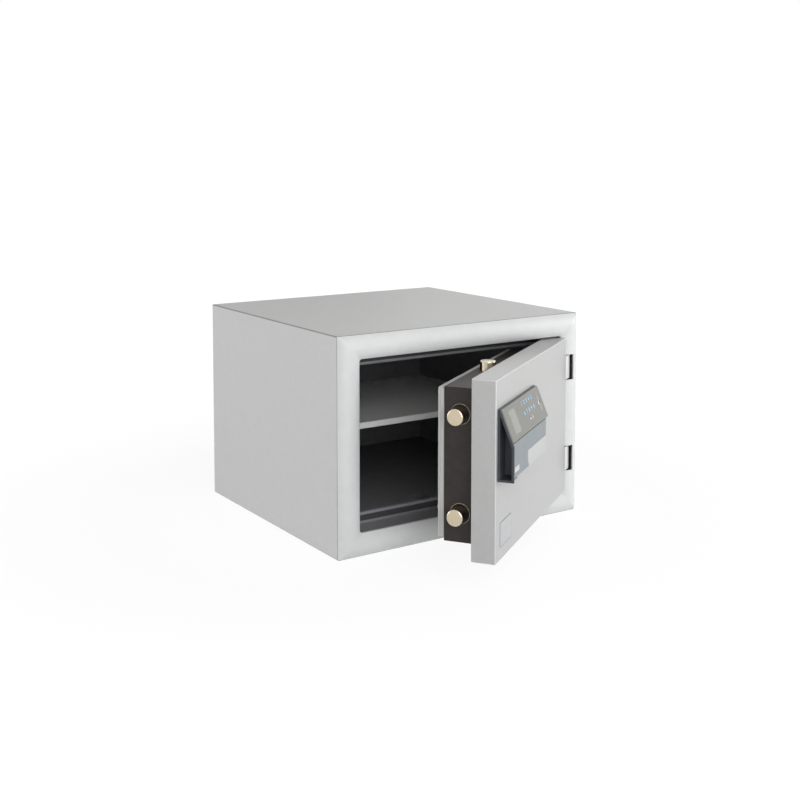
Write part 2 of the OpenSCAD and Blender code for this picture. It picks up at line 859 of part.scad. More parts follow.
module bottom_bolt() {
    color([0.8, 0.75, 0.66])
        on_door() translate([end_bolt_x, bolt_y, bottom_tip]) mirror([0, 0, 1])
            bolt(end_bolt_l, carrier_t);
}

module bolt_nuts() {
    color([0.7, 0.7, 0.7])
        on_door() for (z = side_bolt_zs)
            translate([carrier_x + carrier_t, bolt_y, z]) rotate([0, 90, 0])
                difference() {
                    cylinder(r = nut_r, h = nut_t, $fn = 6);
                    translate([0, 0, -over]) cylinder(r = neck_r, h = nut_t + 2 * over);
                }
}

// Rack along the x axis, its teeth upwards and its pitch line at y = 0,
// with a tooth space at x = gap_at
module rack_outline(from, to, gap_at) {
    half = tooth_pitch / 4 - backlash / 4;
    root = half + dedendum * tan(pressure);
    tip = half - addendum * tan(pressure);
    first = ceil((from + root - gap_at) / tooth_pitch - 0.5);
    last = floor((to - root - gap_at) / tooth_pitch - 0.5);
    translate([from, -dedendum - rack_bar]) square([to - from, rack_bar]);
    for (i = [first:last])
        translate([gap_at + (i + 0.5) * tooth_pitch, 0])
            polygon([[-root, -dedendum - over], [-root, -dedendum], [-tip, addendum],
                [tip, addendum], [root, -dedendum], [root, -dedendum - over]]);
}

// Involute function, in degrees
function involute(a) = tan(a) * 180 / PI - a;

// Half the angle of a gear tooth at radius r
function tooth_half(r, base) =
    90 / gear_teeth - backlash / 4 / pitch_r * 180 / PI + involute(pressure)
    - involute(acos(min(1, base / r)));

// Gear seen from the front, with a tooth pointing straight down
module gear_outline() {
    base = pitch_r * cos(pressure);
    root = pitch_r - dedendum;
    tip = pitch_r + addendum;
    steps = 4;
    radii = concat([root], [for (i = [0:steps]) base + (tip - base) * i / steps]);
    rising = [for (r = radii) [r, -tooth_half(max(r, base), base)]];
    falling = [for (i = [len(radii) - 1:-1:0]) [radii[i], tooth_half(max(radii[i], base), base)]];
    polygon([for (t = [0:gear_teeth - 1], p = concat(rising, falling))
        let (a = -90 + t * 360 / gear_teeth + p[1])
        p[0] * [cos(a), sin(a)]]);
}

// Where the teeth of the gear stand beside its two upright racks
quarter = gear_teeth / 4 - floor(gear_teeth / 4);
three_quarters = 3 * gear_teeth / 4 - floor(3 * gear_teeth / 4);
mesh_reach = 2 * tooth_pitch;

// Plate that carries both side bolts, with the level rack that drives it
module bolt_carriage() {
    low = side_bolt_zs[0] - nut_r - over;
    high = side_bolt_zs[1] + nut_r + over;
    rack_from = end_bolt_x - bolt_travel - mesh_reach;
    rack_to = end_bolt_x + mesh_reach;
    color([0.62, 0.63, 0.65])
        on_door() difference() {
            union() {
                translate([carrier_x, bolt_y - carrier_w / 2, low])
                    cube([carrier_t, carrier_w, high - low]);
                translate([0, 0, gear_z - pitch_r]) backwards(layer_2, rack_w) {
                    rack_outline(rack_from, rack_to, end_bolt_x);
                    translate([carrier_x + carrier_t - over, -dedendum - rack_bar])
                        square([rack_from - carrier_x - carrier_t + 2 * over, rack_bar]);
                }
            }
            for (z = side_bolt_zs)
                translate([carrier_x - over, bolt_y, z]) rotate([0, 90, 0])
                    cylinder(r = neck_r, h = carrier_t + 2 * over);
        }
}

// Upright rack beside the gear with the foot that carries an end bolt above it:
// drawn for the left of the gear, with the gear axis at the origin
module end_rod(foot_z, phase) {
    rack_low = -mesh_reach;
    rack_high = bolt_travel + mesh_reach;
    back_x = -pitch_r - dedendum - rack_bar;
    difference() {
        union() {
            backwards(layer_1, rack_w) {
                translate([-pitch_r, 0]) rotate(-90)
                    rack_outline(-rack_high, -rack_low, -phase);
                translate([back_x, rack_high - over])
                    square([rack_bar, foot_z - rack_high + 2 * over]);
            }
            translate([back_x, bolt_y - foot_w / 2, foot_z])
                cube([bolt_r - back_x, foot_w, carrier_t]);
        }
        translate([0, bolt_y, foot_z - over]) cylinder(r = neck_r, h = carrier_t + 2 * over);
    }
}

module top_rod() {
    color([0.62, 0.63, 0.65])
        on_door() translate([end_bolt_x, 0, gear_z])
            end_rod(foot_up - carrier_t - gear_z, three_quarters * tooth_pitch);
}

module bottom_rod() {
    color([0.62, 0.63, 0.65])
        on_door() translate([end_bolt_x, 0, gear_z])
            rotate([0, 180, 0]) end_rod(gear_z - foot_down - carrier_t, quarter * tooth_pitch);
}

module drive_gear() {
    color([0.75, 0.62, 0.36])
        on_door() translate([end_bolt_x, 0, gear_z])
            difference() {
                union() {
                    backwards(gear_front, gear_len) gear_outline();
                    bar_y(hub_r, gear_front - layer_gap / 2, gear_len + layer_gap);
                }
                bar_y(shaft_r, gear_front - layer_gap, gear_len + 2 * layer_gap);
            }
}

module drive_shaft() {
    color([0.6, 0.6, 0.62])
        on_door() translate([end_bolt_x, 0, gear_z])
            bar_y(shaft_r, slab_back + gearbox_t / 3, case_back - slab_back - gearbox_t / 3);
}

module shaft_bush() {
    color([0.72, 0.6, 0.35])
        on_door() translate([end_bolt_x, 0, gear_z])
            difference() {
                union() {
                    bar_y(shaft_r + run_gap + bush_t, case_room - over, case_t + over);
                    bar_y(shaft_r + run_gap + 2 * bush_t, case_room - 2 * bush_t, 2 * bush_t);
                }
                bar_y(shaft_r + run_gap, case_room - 2 * bush_t - over, 2 * bush_t + case_t + 2 * over);
            }
}

module gear_motor() {
    color([0.55, 0.56, 0.58])
        on_door() translate([end_bolt_x, 0, gear_z])
            difference() {
                union() {
                    bar_y(gearbox_r, slab_back, gearbox_t);
                    bar_y(motor_r, slab_back - motor_l, motor_l + over);
                }
                bar_y(shaft_r + run_gap, slab_back + gearbox_t / 3 - run_gap, gearbox_t);
            }
}

// A block on the inner plate that backs a rack, with a lip behind it.
// Drawn below a level rack whose underside is at the origin
module rack_guide(rack_y) {
    length = 3 * tooth_pitch;
    sideways(-length / 2, length) {
        translate([slab_back, -guide_gap - guide_t])
            square([rack_y + rack_w + guide_gap + guide_t / 2 - slab_back, guide_t]);
        translate([rack_y + rack_w + guide_gap, -guide_gap - over])
            square([guide_t / 2, guide_gap + over + rack_bar / 2]);
    }
}

module rack_guides() {
    back = pitch_r + dedendum + rack_bar;
    color([0.85, 0.85, 0.82])
        on_door() translate([end_bolt_x, 0, gear_z]) {
            translate([0, 0, -back]) rack_guide(layer_2);
            rotate([0, 90, 0]) translate([0, 0, -back]) rack_guide(layer_1);
            rotate([0, -90, 0]) translate([0, 0, -back]) rack_guide(layer_1);
        }
}

// Places lock parts: x from the left of the lock unit, y forwards out of the
// door, z up from the bottom of the finger recess
module at_lock() {
    on_door() translate([lock_x, face_y, lock_z]) mirror([0, 1, 0]) children();
}

// Side view of the lock unit: out of the door, and up.
// depth is that of its upright front, low is its bottom, and inset moves its slope in
module lock_side(depth, low, inset) {
    lean = (lock_depth - lock_top_depth) / lock_top_h;
    shift = inset / cos(panel_angle);
    bend = lock_front_h + (lock_depth - shift - depth) / lean;
    top = lock_front_h + lock_top_h;
    polygon([[0, low], [depth, low], [depth, bend],
        [lock_top_depth - shift, top], [0, top]]);
}

// Space that the fingers reach into, from the left
module grip_space() {
    lean = (lock_depth - lock_top_depth) / lock_top_h;
    shift = (panel_t + lock_wall) / cos(panel_angle);
    front = lock_depth - lock_wall;
    bend = lock_front_h + (lock_depth - shift - front) / lean;
    end = lock_front_h + (lock_depth - shift - lock_wall) / lean;
    sideways(-over, grip_d + over)
        polygon([[lock_wall, lock_wall], [front, lock_wall], [front, bend], [lock_wall, end]]);
}

// Places things on the touch panel: x from its left, y up its slope, z out of it
module on_panel() {
    translate([0, lock_depth, lock_front_h])
        rotate([90 + panel_angle, 0, 0]) mirror([0, 0, 1]) children();
}

// Bay for the control board, behind the touch panel
module board_space(margin) {
    from = grip_d + lock_wall + margin;
    on_panel() translate([from, panel_t + margin, -panel_t - board_bay])
        cube([panel_w - lock_wall - margin - from, panel_h - 2 * panel_t - 2 * margin,
            board_bay + over]);
}

holder_x = grip_d + lock_wall + lock_wall;
holder_w = 2 * cell_l + 3 * holder_t;
holder_h = 4 * cell_r + 3 * holder_t;
holder_d = 2 * cell_r + holder_t;
holder_z = grip_drop + lock_wall;

module lock_housing() {
    color([0.25, 0.27, 0.3])
        at_lock() difference() {
            union() {
                sideways(0, grip_rim) lock_side(lock_depth, 0, panel_t);
                sideways(0, grip_d + lock_wall) lock_side(body_depth, 0, panel_t);
                sideways(0, lower_w + grip_rim) lock_side(body_depth, grip_drop, panel_t);
                sideways(0, panel_w)
                    lock_side(body_depth, lock_front_h - 2 * lock_wall, panel_t);
            }
            grip_space();
            board_space(0);
            translate([holder_x, lock_wall / 2, holder_z])
                cube([holder_w, body_depth, holder_h]);
        }
}

// A pointed oval, from two arcs
module lens_outline(w, h) {
    r = (h * h + w * w) / (4 * w);
    intersection() {
        translate([r - w / 2, 0]) circle(r = r);
        translate([w / 2 - r, 0]) circle(r = r);
    }
}

module touch_panel() {
    color([0.6, 0.61, 0.57])
        at_lock() on_panel() difference() {
            translate([0, 0, -panel_t]) cube([panel_w, panel_h, panel_t]);
            translate([window_in, window_up, -inlay_t]) cube([window_w, window_h, inlay_t + over]);
            translate([panel_w - sensor_in, sensor_up, -inlay_t])
                linear_extrude(inlay_t + over) lens_outline(sensor_w, sensor_h);
        }
}

module display_window() {
    color([0.7, 0.7, 0.67])
        at_lock() on_panel() translate([window_in, window_up, -inlay_t])
            cube([window_w, window_h, inlay_t]);
}

module finger_sensor() {
    color([0.62, 0.64, 0.62])
        at_lock() on_panel() translate([panel_w - sensor_in, sensor_up, -inlay_t])
            linear_extrude(inlay_t) lens_outline(sensor_w, sensor_h);
}

// Outline of the pale plate, from the lower left of the covers; grow widens it
module pale_outline(grow) {
    left = pale_in - grip_rim;
    intersection() {
        translate([0, -over]) square([lower_w + grow, pale_h + grow + over]);
        union() {
            translate([left + pale_r, pale_h * 2 / 3]) circle(r = pale_r + grow);
            translate([left + pale_r, -over]) square([lower_w, pale_h + grow + over]);
        }
    }
}

module at_covers() {
    translate([grip_rim, body_depth, grip_drop])
        rotate([90, 0, 0]) mirror([0, 0, 1]) children();
}

module lower_cover() {
    color([0.58, 0.62, 0.63])
        at_lock() at_covers() linear_extrude(lower_t) difference() {
            square([lower_w, lower_h]);
            pale_outline(cover_gap);
            translate([lower_w - over, -over]) square([2 * over, pale_h + cover_gap + over]);
        }
}

module lower_plate() {
    color([0.84, 0.84, 0.84])
        at_lock() at_covers() linear_extrude(lower_t) intersection() {
            pale_outline(0);
            square([lower_w, pale_h]);
        }
}

module control_board() {
    from = grip_d + lock_wall + board_gap;
    color([0.15, 0.4, 0.25])
        at_lock() on_panel() translate([from, panel_t + board_gap, -panel_t - board_bay])
            cube([panel_w - lock_wall - board_gap - from, panel_h - 2 * panel_t - 2 * board_gap,
                board_t]);
}

module cell_places() {
    for (i = [0, 1], j = [0, 1])
        translate([holder_x + holder_t + i * (cell_l + holder_t), lock_wall / 2 + holder_t + cell_r,
            holder_z + holder_t + cell_r + j * (2 * cell_r + holder_t)])
            rotate([0, 90, 0]) children();
}

module battery_holder() {
    color([0.12, 0.12, 0.13])
        at_lock() difference() {
            translate([holder_x, lock_wall / 2, holder_z]) cube([holder_w, holder_d, holder_h]);
            cell_places() cylinder(r = cell_r, h = cell_l);
            translate([holder_x + holder_t, lock_wall / 2 + holder_t + cell_r, holder_z + holder_t])
                cube([holder_w - 2 * holder_t, holder_d, holder_h - 2 * holder_t]);
        }
}

module battery_cells() {
    color([0.75, 0.5, 0.25])
        at_lock() cell_places() cylinder(r = cell_r, h = cell_l);
}

outer_shell();
back_panel();
front_frame();
door_jamb();
fire_seal();
cabinet_fill();
inner_liner();
shelf();
shelf_brackets();
hinge_pockets();
hinge_pins();
door_skin();
door_fill();
inner_plate();
hinge_arms();
hinge_bushes();
boltwork_case();
back_cover();
cover_screws();
bolt_rings();
rack_guides();
gear_motor();
shaft_bush();
lock_housing();
touch_panel();
display_window();
finger_sensor();
lower_cover();
lower_plate();
control_board();
battery_holder();
battery_cells();
side_bolts();
bolt_carriage();
bolt_nuts();
top_bolt();
top_rod();
bottom_bolt();
bottom_rod();
drive_gear();
drive_shaft();
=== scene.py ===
import json
import math
from collections import namedtuple
from functools import partial

import bmesh
import bpy
from mathutils import Matrix, Vector


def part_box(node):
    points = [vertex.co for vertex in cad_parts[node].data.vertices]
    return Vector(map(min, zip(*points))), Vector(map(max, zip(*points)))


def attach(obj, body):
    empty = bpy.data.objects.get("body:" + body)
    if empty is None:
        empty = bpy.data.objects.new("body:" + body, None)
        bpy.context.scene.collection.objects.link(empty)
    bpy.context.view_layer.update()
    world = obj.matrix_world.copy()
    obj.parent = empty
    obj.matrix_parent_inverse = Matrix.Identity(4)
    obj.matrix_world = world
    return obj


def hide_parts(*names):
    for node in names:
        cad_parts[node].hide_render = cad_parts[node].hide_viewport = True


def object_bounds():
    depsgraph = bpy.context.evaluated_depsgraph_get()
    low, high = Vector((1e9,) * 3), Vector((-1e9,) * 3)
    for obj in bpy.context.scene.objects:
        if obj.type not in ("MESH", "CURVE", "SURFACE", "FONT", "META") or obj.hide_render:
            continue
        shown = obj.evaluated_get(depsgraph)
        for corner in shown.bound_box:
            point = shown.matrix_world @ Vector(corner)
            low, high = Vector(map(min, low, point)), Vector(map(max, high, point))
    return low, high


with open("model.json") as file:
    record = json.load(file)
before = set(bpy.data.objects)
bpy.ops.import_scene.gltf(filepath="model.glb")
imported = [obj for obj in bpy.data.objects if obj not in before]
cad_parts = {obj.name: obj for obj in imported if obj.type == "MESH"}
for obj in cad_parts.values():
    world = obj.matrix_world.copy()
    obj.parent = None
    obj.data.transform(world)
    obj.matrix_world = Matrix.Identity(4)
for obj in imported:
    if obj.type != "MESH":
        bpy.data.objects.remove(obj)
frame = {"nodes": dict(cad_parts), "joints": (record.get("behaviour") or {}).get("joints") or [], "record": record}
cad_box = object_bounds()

bl_info = {
    "name": "Electronic safe",
    "version": (1, 0, 0),
    "blender": (4, 5, 0),
    "location": "View3D > Sidebar > Safe",
    "description": "Dresses the construction model of an electronic safe, piece by piece",
    "category": "Add Mesh",
}

MM = 0.001
UP = Vector((0, 0, 1))
WHITE = (1, 1, 1, 1)

# Points nearer than this are one
SAME_POINT = 0.001 * MM

# The door stands open at rest: its joint says where its axis is and how far back it closes.
# opened carries a piece that is placed on the shut door to where the open door stands
door_joint = next(joint for joint in frame["joints"] if joint["name"] == "door")
hinge_axis = Vector(door_joint["pos_m"])
door_angle = -math.radians(door_joint["range_deg"][0])
opened = (Matrix.Translation(hinge_axis) @ Matrix.Rotation(door_angle, 4, UP)
          @ Matrix.Translation(-hinge_axis))
DOOR_FRONT = opened.to_3x3() @ Vector((0, -1, 0))

# Turns of a piece that is modelled along z
TO_LEFT = Matrix.Rotation(-math.pi / 2, 4, "Y")
BACKWARDS = Matrix.Rotation(-math.pi / 2, 4, "X")
UPSIDE_DOWN = Matrix.Rotation(math.pi, 4, "X")

# A plate is modelled lying down; this stands it up with its back against a front face
STANDING = Matrix.Rotation(math.pi / 2, 4, "X")

slot_of = {entry["node"]: entry["material_slot"] for entry in frame["record"]["subparts"]}
body_of = {node: body for body, nodes in frame["record"]["behaviour"]["bodies"].items()
           for node in nodes}
materials = {}

# The two kinds of node that work on numbers and on vectors
SUM = "ShaderNodeMath"
VECTOR_SUM = "ShaderNodeVectorMath"


def add_node(tree, kind, inputs=(), operation=None, output=0, **settings):
    """Adds a node with its operation and settings, and its inputs in order or by name, as values
    or links. Returns one of its outputs."""
    made = tree.nodes.new(kind)
    if operation:
        made.operation = operation
    for name, value in settings.items():
        setattr(made, name, value)
    for name, value in inputs.items() if isinstance(inputs, dict) else enumerate(inputs):
        if isinstance(value, bpy.types.NodeSocket):
            tree.links.new(value, made.inputs[name])
        else:
            made.inputs[name].default_value = value
    return made.outputs[output] if made.outputs else None


# Materials: each is named for the real one and how its surface was made

def linear(code):
    """Turns an sRGB hex colour, such as "C4C6C7", into a linear one with alpha."""
    shares = [int(code[at:at + 2], 16) / 255 for at in (0, 2, 4)]
    return [s / 12.92 if s <= 0.04045 else ((s + 0.055) / 1.055) ** 2.4 for s in shares] + [1.0]


def object_noise(tree, size, detail=2.0, stretch=(1, 1, 1)):
    """Noise with features of a real size, in metres, on the object's own coordinates."""
    place = add_node(tree, "ShaderNodeTexCoord", output="Object")
    mapped = add_node(tree, "ShaderNodeMapping", {"Vector": place, "Scale": stretch})
    return add_node(tree, "ShaderNodeTexNoise", {"Vector": mapped, "Scale": 1 / size, "Detail": detail})


def new_material(name, shades, patches=None, relief=None, depth=0.0, **values):
    """A material that wanders between two hex shades, with a relief of a depth in metres.
    Patches and relief are noises: size of the features, detail and stretch."""
    material = bpy.data.materials.new(name)
    material.use_nodes = True
    tree = material.node_tree
    shader = tree.nodes["Principled BSDF"].inputs
    shader["Base Color"].default_value = linear(shades[-1])
    for socket, value in values.items():
        shader[socket.replace("_", " ")].default_value = value
    if patches:
        ramp = add_node(tree, "ShaderNodeValToRGB", [object_noise(tree, *patches)])
        for stop, position, shade in zip(ramp.node.color_ramp.elements, (0.3, 0.7), shades):
            stop.position = position
            stop.color = linear(shade)
        tree.links.new(ramp, shader["Base Color"])
    if relief:
        height = object_noise(tree, *relief)
        bump = add_node(tree, "ShaderNodeBump", {"Height": height, "Distance": depth})
        tree.links.new(bump, shader["Normal"])
    return material


def powder_coat(look, slot, name, roughness, coarse=1, gloss=0.5, depth=0.004 * MM):
    """Powder coat baked on sheet steel: even, with an orange peel that breaks up highlights."""
    grain = coarse * look.powder_grain
    return new_material(name, look.shades(slot), (8 * grain, 3), (grain,), depth,
                        Roughness=roughness, Specular_IOR_Level=gloss)


def coat_with_painted_fold_light(look, slot, name, roughness, gloss, fold, turn=0.0):
    """The same on a sheet with round folds, whose colour there is painted light: a painted shade along the shell's
    folds, a painted highlight along the door's edges.
    A fold is where the surface looks between two of the sheet's own directions, which may be turned."""
    material = powder_coat(look, slot, name, roughness, 1, gloss, 0.006 * MM)
    tree = material.node_tree
    add = partial(add_node, tree)
    colour = tree.nodes["Principled BSDF"].inputs["Base Color"]
    normal = add("ShaderNodeTexCoord", output="Normal")
    own = add("ShaderNodeVectorRotate", {"Vector": normal, "Angle": -turn}, rotation_type="Z_AXIS")
    flatness = 0.0
    for side in add("ShaderNodeSeparateXYZ", [own]).node.outputs:
        flatness = add(SUM, [add(SUM, [side], "ABSOLUTE"), flatness], "MAXIMUM")
    # Painted light: where the surface turns round a fold, the fold colour is mixed in. It is a painted shade on
    # the shell and a painted highlight on the door
    painted_fold_mask = add("ShaderNodeMapRange", {"Value": flatness, "From Min": 0.99, "From Max": 0.8})
    even, folded = colour.links[0].from_socket, linear(getattr(look, fold))
    mixed = add("ShaderNodeMix", {0: painted_fold_mask, 6: even, 7: folded}, output=2, data_type="RGBA")
    tree.links.new(mixed, colour)
    return material


def moulded_plastic(look, slot, name, roughness, depth=0.01 * MM, gloss=0.3):
    """Injection moulded plastic with a spark eroded texture: soft, wide highlights."""
    grain = look.powder_grain
    return new_material(name, look.shades(slot), (20 * grain,), (grain,), depth,
                        Roughness=roughness, Specular_IOR_Level=gloss)


def machined_metal(look, slot, name, roughness, streak):
    """Drawn or turned metal: fine parallel streaks in colour and height."""
    streaks = (streak, 3, (1, 1, 12))
    return new_material(name, look.shades(slot), streaks, streaks, 0.02 * MM,
                        Roughness=roughness, Metallic=1.0)


def plated(look, slot, name, roughness):
    """Electroplate on turned steel: a mirror with a faint haze that wanders a little."""
    haze = (1.2 * MM, 3)
    return new_material(name, look.shades(slot), haze, haze, 0.005 * MM,
                        Roughness=roughness, Metallic=1.0)


def touch_glass(look, slot, name, roughness):
    """Back painted panel: smooth and even, under a hard clear gloss."""
    return new_material(name, look.shades(slot), (60 * MM, 0), (0.5 * MM,), 0.002 * MM,
                        Roughness=roughness, Specular_IOR_Level=0.3)


def lit_print(look, slot, name, strength):
    """Back lit signs in the touch panel: they glow a little beyond their own colour."""
    material = new_material(name, look.shades(slot), (2 * MM,), Roughness=0.4,
                            Emission_Strength=strength)
    shader = material.node_tree.nodes["Principled BSDF"].inputs
    colour = shader["Base Color"].links[0].from_socket
    material.node_tree.links.new(colour, shader["Emission Color"])
    return material


def cast_fill(look, slot, name):
    """Lightweight fill, poured and set: matt, with small pores."""
    return new_material(name, look.shades(slot), (6 * MM, 4), (1.5 * MM, 3), 0.3 * MM, Roughness=0.9)


def graphite_seal(look, slot, name):
    """Swelling fire seal, an extruded strip: matt, with a fine fibre."""
    return new_material(name, look.shades(slot), (1 * MM, 3), (0.8 * MM, 3), 0.1 * MM, Roughness=0.85)


def circuit_board(look, slot, name):
    """Glass fibre board with tinned tracks under green solder resist: long streaks, glossy."""
    return new_material(name, look.shades(slot), (3 * MM, 0, (1, 1, 0.2)), Roughness=0.3)


def wrapped_cell(look, slot, name):
    """Alkaline cell in a printed wrap: glossy, with a slightly uneven copper tint."""
    return new_material(name, look.shades(slot), (4 * MM,), Roughness=0.3, Metallic=0.4)


# Each material slot, and each small piece with a finish of its own: the function that makes it, its
# name, its darker and lighter shade, and the function's last values
finishes = {
    # The shell's folds get a painted shade and the door's edges a painted highlight
    "shell_paint": (coat_with_painted_fold_light, "Light grey powder coat", "E1E1E0", "E4E4E3", 0.5, 0.2, "shell_fold"),
    "door_paint": (coat_with_painted_fold_light, "Metallic grey powder coat", "B7B7B6", "BABAB9", 0.3, 0.3, "door_fold",
                   door_angle),
    "frame_paint": (powder_coat, "Smooth light grey enamel", "DADBDB", "DEDFDF", 0.28, 2),
    "dark_paint": (powder_coat, "Black orange peel powder coat", "2E2928", "342F2E", 0.5, 1.5, 0.25,
                   0.06 * MM),
    "shelf_paint": (powder_coat, "Smooth white enamel", "EEEEEC", "F2F2F0", 0.35),
    "plate_face": (powder_coat, "Brushed plate, lacquered", "B0B2B3", "B7B9BA", 0.3),
    "jamb_plastic": (moulded_plastic, "Moulded grey ABS", "88888C", "8C8C90", 0.42),
    "liner_plastic": (moulded_plastic, "Moulded black ABS", "68686B", "6E6E71", 0.45),
    "cover_plastic": (moulded_plastic, "Moulded pale grey ABS", "BDBDBA", "C1C1BE", 0.42),
    "guide_plastic": (moulded_plastic, "Machined white acetal", "DAD9D2", "E4E3DC", 0.4),
    "housing_plastic": (moulded_plastic, "Moulded slate ABS", "34383D", "393E43", 0.34, 0.01 * MM, 0.45),
    "blue_grey_plastic": (moulded_plastic, "Moulded blue grey ABS", "82898D", "868F93", 0.38, 0.006 * MM),
    "pale_plastic": (moulded_plastic, "Moulded near white ABS", "C0C2C1", "C3C5C4", 0.42, 0.006 * MM),
    "label": (moulded_plastic, "Coated white label", "CACACA", "D0D0D0", 0.5, 0.002 * MM),
    "panel_glass": (touch_glass, "Back painted touch panel", "7E7F78", "81827B", 0.3),
    "window": (touch_glass, "Tinted window film", "9A9994", "A09F9A", 0.25),
    "sensor": (touch_glass, "Clear sensor lens", "94979A", "9DA09F", 0.12),
    "digits": (lit_print, "Back lit blue signs", "6CA8E2", "88BCEC", 0.65),
    "alarm": (lit_print, "Back lit red sign", "E86A60", "F58C82", 0.55),
    "bare_steel": (machined_metal, "Drawn steel", "8E8F92", "A9AAAD", 0.35, 0.8 * MM),
    "bearing_bronze": (machined_metal, "Turned bearing bronze", "A88450", "C29C62", 0.3, 0.6 * MM),
    "nickel": (plated, "Satin nickel plate", "C4B69E", "CEC2AC", 0.16),
    "black_nickel": (plated, "Blackened nickel plate", "2A2826", "383532", 0.3),
    "plate_line": (plated, "Etched line of a steel plate", "77797B", "85878A", 0.45),
    "fill": (cast_fill, "Cast fire resistant fill", "BFB8A8", "DDD7CA"),
    "seal": (graphite_seal, "Extruded graphite seal", "2E2E30", "444446"),
    "board": (circuit_board, "Lacquered circuit board", "164A2C", "2A6E48"),
    "cell": (wrapped_cell, "Shrink wrapped cell", "A36D2A", "BD8640")}


# Meshes

Box = namedtuple("Box", "low high middle size")


def finish_piece(piece, slot, nodes=(), body="door", finish=None):
    """Puts a finished piece on its body, with its material, in place of construction nodes."""
    piece.data.materials.clear()
    piece.data.materials.append(materials[finish or slot])
    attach(piece, body)
    if nodes:
        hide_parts(*nodes)


def object_of(mesh, name):
    piece = bpy.data.objects.new(name, mesh)
    bpy.context.scene.collection.objects.link(piece)
    return piece


def smoothed(mesh, below=30):
    """Shades a mesh smooth, apart from edges over an angle in degrees."""
    mesh.shade_smooth()
    mesh.set_sharp_from_angle(angle=math.radians(below))


def mesh_from(build, name, place=None):
    """Turns a bmesh into an object, with its place in its mesh."""
    if place is not None:
        build.transform(place)
    mesh = bpy.data.meshes.new(name)
    build.to_mesh(mesh)
    build.free()
    smoothed(mesh)
    return object_of(mesh, name)


def merged(node):
    """A bmesh of a node's solid, with its loose triangles joined and its flat faces whole."""
    build = bmesh.new()
    build.from_mesh(frame["nodes"][node].data)
    bmesh.ops.remove_doubles(build, verts=build.verts, dist=2 * SAME_POINT)
    bmesh.ops.dissolve_limit(build, angle_limit=math.radians(0.5), verts=build.verts, edges=build.edges)
    return build


def solids(node, place=opened):
    """Boxes round a node's separate solids, as the shut door has them."""
    build = merged(node)
    build.transform(place.inverted())
    left = set(build.verts)
    boxes = []
    while left:
        reached = [left.pop()]
        for vertex in reached:
            others = {edge.other_vert(vertex) for edge in vertex.link_edges} & left
            left -= others
            reached.extend(others)
        low, high = (Vector([pick(vertex.co[axis] for vertex in reached) for axis in range(3)])
                     for pick in (min, max))
        boxes.append(Box(low, high, (low + high) / 2, high - low))
    build.free()
    return sorted(boxes, key=lambda box: [round(value, 4) for value in box.low])


def rounded_edges(piece, width, segments=2, angle=40):
    bevel = piece.modifiers.new("Rounded edges", "BEVEL")
    bevel.width = width
    bevel.segments = segments
    bevel.limit_method = "ANGLE"
    bevel.angle_limit = math.radians(angle)
    bevel.harden_normals = True
    return piece


def face_place(node, out):
    """Place of a node's foremost flat face that looks along out: x along it, y up it, z out of it."""
    build = merged(node)
    facing = [face for face in build.faces if face.normal.dot(out) > 0.9]
    normal = max(facing, key=lambda face: face.calc_area()).normal.copy()
    up = (UP - UP.dot(normal) * normal).normalized()
    own = Matrix((up.cross(normal), up, normal))
    corners = [own @ vertex.co for face in facing for vertex in face.verts]
    front = max(corner.z for corner in corners)
    flat = [corner for corner in corners if front - corner.z < 0.05 * MM]
    origin = (min(corner.x for corner in flat), min(corner.y for corner in flat), front)
    build.free()
    return own.transposed().to_4x4() @ Matrix.Translation(origin)


def arc(centre, radius, start, end, steps=5):
    """Points of an arc, from one angle to another in degrees."""
    angles = [math.radians(start + (end - start) * i / steps) for i in range(steps + 1)]
    return [(centre[0] + radius * math.cos(a), centre[1] + radius * math.sin(a)) for a in angles]


def turned(name, profile, place=None, sides=64, hexed=()):
    """A solid turned about z from (radius, height) points that run up its outside.
    The rings whose numbers are in hexed get six flats, with the radius at their middle."""
    build = bmesh.new()
    rings = []
    for number, (radius, height) in enumerate(profile):
        ring = []
        for i in range(sides if radius else 1):
            angle = math.tau * i / sides
            flats = math.cos(angle % (math.pi / 3) - math.pi / 6) if number in hexed else 1
            reach = radius / flats
            ring.append(build.verts.new((reach * math.cos(angle), reach * math.sin(angle), height)))
        rings.append(ring)
    for low, high in zip(rings, rings[1:]):
        for i in range(sides):
            j = (i + 1) % sides
            corners = [low[i % len(low)], low[j % len(low)], high[j % len(high)], high[i % len(high)]]
            build.faces.new(dict.fromkeys(corners))
    bmesh.ops.remove_doubles(build, verts=build.verts, dist=SAME_POINT)
    return mesh_from(build, name, place)


def plate(name, corners, thickness, place, slot, finish, edge=0.1 * MM, body="door"):
    """Adds a flat plate with an outline, its back on z = 0, and a fine bevel round its front."""
    build = bmesh.new()
    outline = build.faces.new([build.verts.new((x, y, thickness)) for x, y in corners])
    back = build.faces.new([build.verts.new((x, y, 0)) for x, y in reversed(corners)])
    count = len(corners)
    for i in range(count):
        j = (i + 1) % count
        build.faces.new([outline.verts[j], outline.verts[i], back.verts[count - 1 - i],
                         back.verts[count - 1 - j]])
    piece = rounded_edges(mesh_from(build, name, place), edge, segments=1, angle=50)
    finish_piece(piece, slot, body=body, finish=finish)


def round_corners(left, low, width, height, radius):
    """Outline of a rectangle with round corners, anticlockwise."""
    right, high = left + width - radius, low + height - radius
    middles = [(right, low + radius), (right, high), (left + radius, high), (left + radius, low + radius)]
    return [point for i, middle in enumerate(middles)
            for point in arc(middle, radius, 90 * (i - 1), 90 * i)]


# Geometry Nodes

